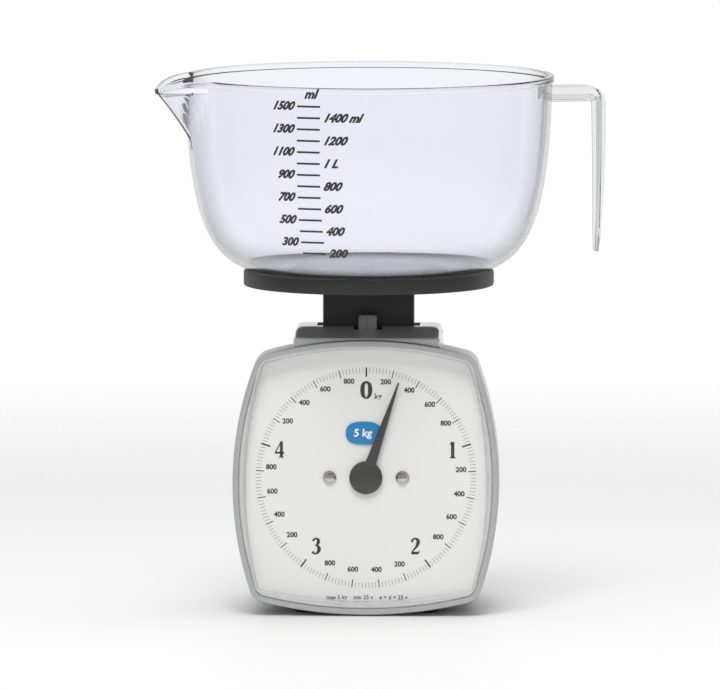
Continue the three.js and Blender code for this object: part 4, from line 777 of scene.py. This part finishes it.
def letters(text, height, weight=0.0, slant=0.0, align="CENTER"):
    """Flat lettering as (points, faces), about its own middle, in millimetres."""
    curve = bpy.data.curves.new("letters", "FONT")
    curve.body = text
    curve.size = height / 0.7
    curve.offset = weight
    curve.shear = slant
    curve.align_x = align
    curve.align_y = "CENTER"
    curve.resolution_u = 3
    curve.extrude = 0.03
    holder = bpy.data.objects.new("letters", curve)
    bpy.context.scene.collection.objects.link(holder)
    bpy.context.view_layer.update()
    graph = bpy.context.evaluated_depsgraph_get()
    mesh = bpy.data.meshes.new_from_object(holder.evaluated_get(graph), depsgraph=graph)
    points = [tuple(v.co) for v in mesh.vertices]
    faces = [tuple(p.vertices) for p in mesh.polygons]
    bpy.data.objects.remove(holder)
    return points, faces


def strip(left, right, low, high, columns=1, thickness=0.06):
    """A flat bar as (points, faces), in columns so that it can follow a curve."""
    points, faces = [], []
    for i in range(columns + 1):
        x = left + (right - left) * i / columns
        points += [(x, low, 0), (x, high, 0), (x, high, thickness), (x, low, thickness)]
    for i in range(columns):
        a = 4 * i
        for j in range(4):
            k = (j + 1) % 4
            faces.append((a + j, a + k, a + 4 + k, a + 4 + j))
    faces += [(0, 1, 2, 3), tuple(4 * columns + j for j in (3, 2, 1, 0))]
    return points, faces


def pen_stroke(controls, thickness=0.06, steps=9):
    """A brush stroke through (x, y, half width) points, as a flat bar."""
    path = []
    last = len(controls) - 1
    for i in range(last):
        p = [Vector(controls[max(min(k, last), 0)]) for k in (i - 1, i, i + 1, i + 2)]
        for s in range(steps + (i == last - 1)):
            t = s / steps
            path.append(0.5 * ((2 * p[1]) + (p[2] - p[0]) * t + (2 * p[0] - 5 * p[1] + 4 * p[2] - p[3]) * t * t
                               + (3 * p[1] - p[0] - 3 * p[2] + p[3]) * t ** 3))
    points, faces = [], []
    for i, here in enumerate(path):
        before, after = path[max(i - 1, 0)], path[min(i + 1, len(path) - 1)]
        run = Vector((after.x - before.x, after.y - before.y)).normalized()
        side = Vector((-run.y, run.x)) * here.z
        for sign, z in ((-1, 0), (1, 0), (1, thickness), (-1, thickness)):
            points.append((here.x + sign * side.x, here.y + sign * side.y, z))
    for i in range(len(path) - 1):
        a = 4 * i
        for j in range(4):
            k = (j + 1) % 4
            faces.append((a + j, a + k, a + 4 + k, a + 4 + j))
    end = 4 * (len(path) - 1)
    faces += [(0, 1, 2, 3), (end + 3, end + 2, end + 1, end)]
    return points, faces


# Each numeral of the dial as brush strokes in a box one unit high, baseline at -0.5.
NUMERALS = {
    "0": [[(0.0, 0.46, 0.04), (-0.17, 0.3, 0.085), (-0.21, 0.0, 0.1), (-0.17, -0.3, 0.085), (0.0, -0.46, 0.04),
           (0.17, -0.3, 0.085), (0.21, 0.0, 0.1), (0.17, 0.3, 0.085), (0.0, 0.46, 0.04)]],
    "1": [[(0.02, 0.5, 0.085), (0.02, 0.0, 0.085), (0.02, -0.48, 0.085)],
          [(-0.16, 0.34, 0.02), (-0.1, 0.38, 0.035), (0.0, 0.46, 0.06)],
          [(-0.17, -0.475, 0.025), (0.02, -0.475, 0.03), (0.21, -0.475, 0.025)]],
    "2": [[(-0.2, 0.24, 0.07), (-0.16, 0.38, 0.05), (0.0, 0.46, 0.045), (0.16, 0.36, 0.08), (0.17, 0.18, 0.09),
           (0.06, -0.06, 0.06), (-0.12, -0.27, 0.04), (-0.22, -0.4, 0.03)],
          [(-0.23, -0.43, 0.07), (0.0, -0.43, 0.07), (0.19, -0.43, 0.07)],
          [(0.2, -0.44, 0.05), (0.235, -0.33, 0.025), (0.25, -0.27, 0.012)]],
    "3": [[(-0.19, 0.3, 0.06), (-0.13, 0.41, 0.045), (0.0, 0.46, 0.045), (0.13, 0.38, 0.075), (0.14, 0.22, 0.08),
           (0.04, 0.07, 0.045), (-0.06, 0.04, 0.02)],
          [(-0.06, 0.05, 0.02), (0.06, 0.03, 0.045), (0.17, -0.1, 0.085), (0.18, -0.25, 0.09), (0.08, -0.42, 0.06),
           (-0.07, -0.46, 0.045), (-0.17, -0.41, 0.055), (-0.21, -0.33, 0.065)]],
    "4": [[(0.1, 0.5, 0.075), (0.1, 0.0, 0.075), (0.1, -0.48, 0.075)],
          [(0.08, 0.48, 0.03), (-0.1, 0.14, 0.028), (-0.28, -0.18, 0.03)],
          [(-0.3, -0.2, 0.05), (0.0, -0.2, 0.05), (0.27, -0.2, 0.05)],
          [(-0.06, -0.475, 0.022), (0.1, -0.475, 0.028), (0.26, -0.475, 0.022)]],
}


def printed_piece(name, parts, place, material):
    """Joins flat parts, each moved by (x, y, turn, size), and lays them on a surface.

    place(x, y, height) gives the point on or over the surface.
    """
    bm = bmesh.new()
    for (points, faces), (x, y, turn, size) in parts:
        cos, sin = math.cos(turn), math.sin(turn)
        verts = []
        for px, py, pz in points:
            px, py = px * size, py * size
            verts.append(bm.verts.new(Vector(place(x + px * cos - py * sin, y + px * sin + py * cos, pz)) * MM))
        for face in faces:
            if len(set(face)) == len(face):
                bm.faces.new([verts[i] for i in face])
    return finish_piece(name, bm, material, 20)


RING = 50.1


def on_dial(lift):
    return lambda u, v, height: face_point(u, v, DIAL + lift + height)


def around_dial(kilos, radius):
    angle = math.radians(72) * kilos
    return radius * math.sin(angle), radius * math.cos(angle)


def dial_numerals():
    parts = []
    for number, radius, height in ((0, 39.9, 8.2), (1, 41.2, 7.4), (2, 38.2, 7.4), (3, 38.4, 7.4), (4, 41.2, 7.4)):
        u, v = around_dial(number, radius)
        parts += [(pen_stroke([(x, y, 1.2 * w) for x, y, w in stroke]), (u, v, 0, height))
                  for stroke in NUMERALS[str(number)]]
    return printed_piece("dial_numerals", parts, on_dial(0.0), dial_black)


def dial_small_labels():
    parts = []
    for step in range(1, 25):
        if step % 5 == 0:
            continue
        grams = step % 5 * 200
        u, v = around_dial(step * 0.2 * 1.0215 - 0.045, 43.2 + 1.2 * math.cos(math.radians(14.4 * step)))
        parts.append((letters(str(grams), 2.25, 0.12), (u, v, 0, 1)))
    parts.append((letters("kg", 2.6, 0.07), (5.3, 36.9, 0, 1)))
    parts.append((letters("max 5 kg    min 25 g    e = d = 25 g", 1.8, 0.05), (0.6, -54.3, 0, 1)))
    return printed_piece("dial_small_labels", parts, on_dial(0.0), dial_black)


def graduation_tree():
    """Bars spaced evenly round a circle, pointing outwards from its middle."""
    tree = bpy.data.node_groups.new("Dial Graduation", "GeometryNodeTree")
    for label, kind, value in (("Count", "NodeSocketInt", 200), ("Outer Radius", "NodeSocketFloat", 0.05),
                               ("Length", "NodeSocketFloat", 0.0025), ("Width", "NodeSocketFloat", 0.0002),
                               ("Thickness", "NodeSocketFloat", 0.00005)):
        socket = tree.interface.new_socket(name=label, in_out="INPUT", socket_type=kind)
        socket.default_value = value
    tree.interface.new_socket(name="Ink", in_out="INPUT", socket_type="NodeSocketMaterial")
    tree.interface.new_socket(name="Geometry", in_out="OUTPUT", socket_type="NodeSocketGeometry")
    given = tree.nodes.new("NodeGroupInput")
    result = tree.nodes.new("NodeGroupOutput")
    half = add_node(tree, "ShaderNodeMath", operation="MULTIPLY")
    half.inputs[1].default_value = 0.5
    middle = add_node(tree, "ShaderNodeMath", operation="SUBTRACT")
    circle = tree.nodes.new("GeometryNodeMeshCircle")
    size = tree.nodes.new("ShaderNodeCombineXYZ")
    bar = tree.nodes.new("GeometryNodeMeshCube")
    where = tree.nodes.new("GeometryNodeInputPosition")
    aim = add_node(tree, "FunctionNodeAlignRotationToVector", axis="Y", pivot_axis="Z")
    spread = tree.nodes.new("GeometryNodeInstanceOnPoints")
    real = tree.nodes.new("GeometryNodeRealizeInstances")
    inked = tree.nodes.new("GeometryNodeSetMaterial")
    link = tree.links.new
    link(given.outputs["Length"], half.inputs[0])
    link(given.outputs["Outer Radius"], middle.inputs[0])
    link(half.outputs[0], middle.inputs[1])
    link(given.outputs["Count"], circle.inputs["Vertices"])
    link(middle.outputs[0], circle.inputs["Radius"])
    link(given.outputs["Width"], size.inputs["X"])
    link(given.outputs["Length"], size.inputs["Y"])
    link(given.outputs["Thickness"], size.inputs["Z"])
    link(size.outputs[0], bar.inputs["Size"])
    link(where.outputs[0], aim.inputs["Vector"])
    link(circle.outputs["Mesh"], spread.inputs["Points"])
    link(bar.outputs["Mesh"], spread.inputs["Instance"])
    link(aim.outputs[0], spread.inputs["Rotation"])
    link(spread.outputs[0], real.inputs[0])
    link(real.outputs[0], inked.inputs["Geometry"])
    link(given.outputs["Ink"], inked.inputs["Material"])
    link(inked.outputs[0], result.inputs[0])
    return tree


GRADUATION = graduation_tree()
FACE_MATRIX = Matrix.Translation(HUB) @ Matrix((Vector((1, 0, 0)), FACE_UP, FACE_OUT)).transposed().to_4x4()


def graduation(name, count, length, width, lift, ink):
    """One set of the dial's ticks, laid on the card as a plain mesh."""
    holder = bpy.data.objects.new(name, bpy.data.meshes.new(name))
    bpy.context.scene.collection.objects.link(holder)
    step = holder.modifiers.new("graduation", "NODES")
    step.node_group = GRADUATION
    values = {"Count": count, "Outer Radius": RING * MM, "Length": length * MM, "Width": width * MM,
              "Thickness": 0.06 * MM, "Ink": ink}
    for item in GRADUATION.interface.items_tree:
        if item.in_out == "INPUT":
            step[item.identifier] = values[item.name]
    graph = bpy.context.evaluated_depsgraph_get()
    mesh = bpy.data.meshes.new_from_object(holder.evaluated_get(graph), depsgraph=graph)
    holder.modifiers.clear()
    quarter = Matrix.Rotation(math.radians(90), 4, "Z")
    mesh.transform(FACE_MATRIX @ Matrix.Translation((0, 0, (DIAL + lift) * MM)) @ quarter)
    holder.data = mesh
    return holder


def bowl_radius_at(z):
    side = bowl_side()
    for (r0, z0), (r1, z1) in zip(side, side[1:]):
        if z0 <= z <= z1:
            return r0 + (r1 - r0) * (z - z0) / (z1 - z0)
    return side[-1][0]


def on_bowl(x, z, height):
    """Wraps flat marks round the bowl's outside: x is the distance round from the marks' middle line."""
    radius = bowl_radius_at(z)
    lean = math.radians(-90 - 16.8 - 1.4 * (BOWL_TOP - z) / 80)
    angle = lean + x / radius
    reach = radius + 0.05 + height
    return AXIS + reach * math.cos(angle), reach * math.sin(angle), z


def bowl_marks():
    """Volume lines every 100 ml, with figures left and right in turn."""
    parts = [(letters("ml", 4.0, 0.27, 0.4), (0.6, BOWL_TOP - 3.0, 0, 1))]
    for i in range(14):
        volume = 1500 - 100 * i
        z = BOWL_TOP - 8.5 - 5.19 * i
        parts.append((strip(-5.6, 5.4, -0.45, 0.45, 8), (0, z, 0, 1)))
        figure = "1 L" if volume == 1000 else str(volume) + (" ml" if volume == 1400 else "")
        if volume % 200:
            parts.append((letters(figure, 3.7, 0.27, 0.5, "RIGHT"), (-7.8, z, 0, 1)))
        else:
            parts.append((letters(figure, 3.7, 0.27, 0.5, "LEFT"), (6.6, z, 0, 1)))
    return printed_piece("bowl_marks", parts, on_bowl, bowl_ink)


# ---- Dial furniture ----------------------------------------------------------------------------

def on_face_rings(rings):
    return [[face_point(u, v, out) for u, v, out in ring] for ring in rings]


def turned_on_face(profile, segments, u=0.0):
    """Rings of (radius, out) points turned about a line out of the dial's face, u across from the hub."""
    angles = [2 * math.pi * i / segments for i in range(segments)]
    return on_face_rings([[(u + r * math.cos(a), r * math.sin(a), out) for a in angles] for r, out in profile])


def dial_pointer():
    """Domed hub with a tapering ridged blade."""
    rest = math.radians(18.9)
    back = DIAL + 0.6
    bm = bmesh.new()
    profile = [(7.3, back), (7.5, back + 0.2), (7.5, back + 1.2), (7.35, back + 1.5), (6.9, back + 1.9),
               (6.0, back + 2.35), (4.8, back + 2.7), (3.2, back + 2.92), (1.6, back + 3.0)]
    add_rings(bm, turned_on_face(profile, 72), cap_start=True, cap_end=True)
    sections = []
    for i in range(14):
        share = i / 13
        along = 5 + 40.5 * share
        half = 2.8 + (0.36 - 2.8) * (along / 45.5)
        low = back + 1.85
        ring = []
        for side, out in ((-half, low), (-half, low + 0.4), (-half * 0.8, low + 0.55), (0, low + 0.7),
                          (half * 0.8, low + 0.55), (half, low + 0.4), (half, low)):
            ring.append((side * math.cos(rest) + along * math.sin(rest),
                         -side * math.sin(rest) + along * math.cos(rest), out))
        sections.append(ring)
    add_rings(bm, on_face_rings(sections), cap_start=True, cap_end=True)
    return finish_piece("dial_pointer", bm, pointer_paint)


def dial_screw_head(name, u):
    """Domed screw with a slight collar round its dome."""
    seat = DIAL + 0.3
    profile = [(2.9, seat), (3.05, seat + 0.15), (3.05, seat + 0.4), (2.85, seat + 0.62), (2.6, seat + 0.75),
               (2.5, seat + 0.85), (2.2, seat + 1.25), (1.7, seat + 1.6), (1.0, seat + 1.85), (0.4, seat + 1.93)]
    shank = [(1.5, DIAL - 5), (1.5, seat + 0.1)]
    bm = bmesh.new()
    add_rings(bm, turned_on_face(profile, 48, u), cap_start=True, cap_end=True)
    add_rings(bm, turned_on_face(shank, 24, u), cap_start=True, cap_end=True)
    return finish_piece(name, bm, screw_chrome)


def badge_plate():
    bm = bmesh.new()
    rings = []
    for shrink, out in ((0.15, 0.3), (0, 0.42), (0, 0.7), (0.12, 0.85), (0.35, 0.9)):
        ring = []
        for i in range(64):
            cos, sin = math.cos(math.tau * i / 64), math.sin(math.tau * i / 64)
            ring.append(((8.2 - shrink) * math.copysign(abs(cos) ** 0.78, cos) - 1.0,
                         (5.25 - shrink) * math.copysign(abs(sin) ** 0.78, sin) + 20.2, DIAL + out))
        rings.append(ring)
    add_rings(bm, on_face_rings(rings), cap_start=True, cap_end=True)
    return finish_piece("badge_plate", bm, badge_blue)


def badge_text():
    parts = [(letters("5 kg", 3.4, 0.14, 0.1), (-1.6, 20.2, 0, 1))]
    return printed_piece("badge_text", parts, on_dial(0.9), badge_ink)


# ---- CAD pieces that keep their shape ------------------------------------------------------------

def rounded_copy(node, material, width, segments):
    """A copy of a CAD node, merged and with its edges rounded a little."""
    bm = bmesh.new()
    bm.from_mesh(frame["nodes"][node].data)
    bmesh.ops.remove_doubles(bm, verts=bm.verts, dist=0.01 * MM)
    piece = finish_piece(f"rounded_{node}", bm, material, recalc=False)
    bevel = piece.modifiers.new("round", "BEVEL")
    bevel.width = width * MM
    bevel.segments = segments
    bevel.limit_method = "ANGLE"
    bevel.angle_limit = math.radians(35)
    return settle(piece)


def dress(material, *nodes):
    for node in nodes:
        piece = frame["nodes"][node]
        if not piece.material_slots:
            piece.data.materials.append(material)
        for place in piece.material_slots:
            place.material = material


dress(pressed_steel, "chassis", "load_carrier", "upper_link", "lower_link", "spring_hanger",
      "upper_chassis_pin", "lower_chassis_pin", "upper_carrier_pin", "lower_carrier_pin")
dress(spring_steel, "spring_left", "spring_right")
dress(gear_brass, "spindle_bush", "pinion_spindle", "gear_rack")
dress(screw_steel, "rack_screw",
      *[node for node in frame["nodes"] if "_screw_" in node and "dial" not in node])

bodies = {node: body for body, nodes in frame["record"]["behaviour"]["bodies"].items() for node in nodes}
ROUNDED = [("neck", charcoal, 0.35, 3), ("zero_slider", slider_grey, 0.5, 3), ("base_plate", base_grey, 0.3, 2)]
ROUNDED += [(f"foot_{corner}", foot_rubber, 0.25, 2)
            for corner in ("front_left", "front_right", "rear_left", "rear_right")]
for node, material, width, segments in ROUNDED:
    piece = rounded_copy(node, material, width, segments)
    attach(piece, bodies[node])
    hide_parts(node)

BUILT = [
    (housing_shell, "housing", ("rear_housing",), "silver_plastic"),
    (hood_cover, "housing", ("hood",), "silver_plastic"),
    (bezel, "housing", ("bezel_ring",), "silver_plastic"),
    (dial_face, "housing", ("dial_plate",), "dial_card"),
    (dial_cover, "housing", ("dial_window",), "clear_plastic"),
    (weighing_platform, "load_carrier", ("platform",), "dark_plastic"),
    (clear_bowl, "measuring_bowl", ("measuring_bowl",), "clear_plastic"),
    (bowl_handle, "measuring_bowl", (), "clear_plastic"),
    (bowl_marks, "measuring_bowl", (), "pointer_black"),
    (dial_numerals, "housing", (), "pointer_black"),
    (dial_small_labels, "housing", (), "pointer_black"),
    (dial_pointer, "pointer", ("pointer",), "pointer_black"),
    (badge_plate, "housing", ("dial_badge",), "badge_blue"),
    (badge_text, "housing", (), "dial_card"),
]
for make, body, nodes, slot in BUILT:
    piece = make()
    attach(piece, body)
    if nodes:
        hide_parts(*nodes)

for side, u in (("left", -DIAL_SCREW_REACH), ("right", DIAL_SCREW_REACH)):
    piece = dial_screw_head(f"dial_screw_head_{side}", u)
    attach(piece, "housing")
    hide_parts(f"dial_screw_{side}")

for name, count, length, width, lift, ink in (("ticks_25_g", 200, 2.5, 0.2, 0.0, dial_grey),
                                              ("ticks_200_g", 25, 3.6, 0.42, 0.02, dial_black),
                                              ("ticks_1_kg", 5, 4.3, 0.7, 0.04, dial_black)):
    piece = graduation(name, count, length, width, lift, ink)
    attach(piece, "housing")


# ---- Studio ------------------------------------------------------------------------------------

def studio_floor():
    """A white table whose far edge melts into the white room."""
    bm = bmesh.new()
    rings = [[(AXIS + r * math.cos(a), r * math.sin(a), 0) for a in [2 * math.pi * i / 96 for i in range(96)]]
             for r in (1400, 700, 300, 100)]
    rows = add_rings(bm, rings)
    bm.faces.new(list(reversed(rows[-1])))
    material = bpy.data.materials.new("white table")
    material.use_nodes = True
    tree = material.node_tree
    shader = tree.nodes["Principled BSDF"]
    shader.inputs["Roughness"].default_value = 0.5
    shader.inputs["Specular IOR Level"].default_value = 0.25
    place = add_node(tree, "ShaderNodeTexCoord")
    away = add_node(tree, "ShaderNodeVectorMath", operation="LENGTH")
    tree.links.new(place.outputs["Object"], away.inputs[0])
    fade = add_node(tree, "ShaderNodeMapRange", {"From Min": 0.35, "From Max": 1.15, "To Min": 1.0, "To Max": 0.0},
                    interpolation_type="SMOOTHSTEP")
    tree.links.new(away.outputs["Value"], fade.inputs["Value"])
    tree.links.new(fade.outputs["Result"], shader.inputs["Alpha"])
    mottle = place_group(tree, MOULDED_GRAIN, Scale=200.0, Cloud_Scale=3.0)
    tree.links.new(blend_colours(tree, mottle.outputs["Cloud"], (0.78, 0.78, 0.78), (0.81, 0.81, 0.81)),
                   shader.inputs["Base Color"])
    floor = finish_piece("studio_floor", bm, material, recalc=False)
    for polygon in floor.data.polygons:
        if polygon.normal.z < 0:
            polygon.flip()


def soft_light(name, place, target, size, power):
    lamp = bpy.data.lights.new(name, "AREA")
    lamp.shape = "SQUARE"
    lamp.size = size
    lamp.energy = power
    holder = bpy.data.objects.new(name, lamp)
    holder.location = Vector(place)
    aim = Vector(target) - Vector(place)
    holder.rotation_mode = "QUATERNION"
    holder.rotation_quaternion = aim.to_track_quat("-Z", "Y")
    holder.visible_camera = False
    holder.visible_glossy = False
    holder.visible_transmission = False
    bpy.context.scene.collection.objects.link(holder)


def white_room():
    """White behind and below; greyer in front, at the sides and overhead."""
    world = bpy.data.worlds.new("white room")
    world.use_nodes = True
    bpy.context.scene.world = world
    tree = world.node_tree
    tree.nodes.clear()
    place = add_node(tree, "ShaderNodeTexCoord")
    split = add_node(tree, "ShaderNodeSeparateXYZ")
    tree.links.new(place.outputs["Generated"], split.inputs[0])
    height = add_node(tree, "ShaderNodeMapRange", {"From Min": 0.25, "From Max": 0.9, "To Min": 1.0, "To Max": 0.6},
                      interpolation_type="SMOOTHSTEP")
    tree.links.new(split.outputs["Z"], height.inputs["Value"])
    behind = add_node(tree, "ShaderNodeMapRange", {"From Min": 0.25, "From Max": 0.8, "To Min": 0.42, "To Max": 1.0},
                      interpolation_type="SMOOTHSTEP")
    tree.links.new(split.outputs["Y"], behind.inputs["Value"])
    both = add_node(tree, "ShaderNodeMath", operation="MULTIPLY")
    tree.links.new(height.outputs["Result"], both.inputs[0])
    tree.links.new(behind.outputs["Result"], both.inputs[1])
    path = add_node(tree, "ShaderNodeLightPath")
    seen = add_node(tree, "ShaderNodeBackground", {"Strength": 1.0, "Color": (1, 1, 1, 1)})
    lit = add_node(tree, "ShaderNodeBackground", {"Color": (1, 1, 1, 1)})
    tree.links.new(both.outputs[0], lit.inputs["Strength"])
    mix = add_node(tree, "ShaderNodeMixShader")
    tree.links.new(path.outputs["Is Camera Ray"], mix.inputs[0])
    tree.links.new(lit.outputs[0], mix.inputs[1])
    tree.links.new(seen.outputs[0], mix.inputs[2])
    out = add_node(tree, "ShaderNodeOutputWorld")
    tree.links.new(mix.outputs[0], out.inputs["Surface"])


def photographer_view():
    """Long lens, a little above the dial and a touch to its right."""
    camera = bpy.data.objects.new("camera", bpy.data.cameras.new("camera"))
    azimuth, elevation, distance = math.radians(2.0), math.radians(5.2), 8.0
    back = Vector((math.sin(azimuth) * math.cos(elevation), -math.cos(azimuth) * math.cos(elevation),
                   math.sin(elevation)))
    aim = Vector((AXIS * MM - 0.0040, 0, 0.11917))
    camera.location = aim + back * distance
    camera.rotation_mode = "QUATERNION"
    camera.rotation_quaternion = (-back).to_track_quat("-Z", "Y")
    camera.data.sensor_width = 36
    camera.data.lens = 36 * distance / 0.32803
    camera.data.clip_end = 30
    bpy.context.scene.collection.objects.link(camera)
    bpy.context.scene.camera = camera


studio_floor()
white_room()
soft_light("front top", (-0.15, -0.95, 1.85), (0, 0, 0.1), 0.9, 24)
soft_light("top", (0.1, 0.1, 1.7), (0, 0, 0.1), 0.9, 12)
soft_light("low front", (0.1, -1.4, 0.12), (0, 0, 0.07), 0.6, 3.4)
photographer_view()
bpy.context.scene.view_settings.view_transform = "Standard"
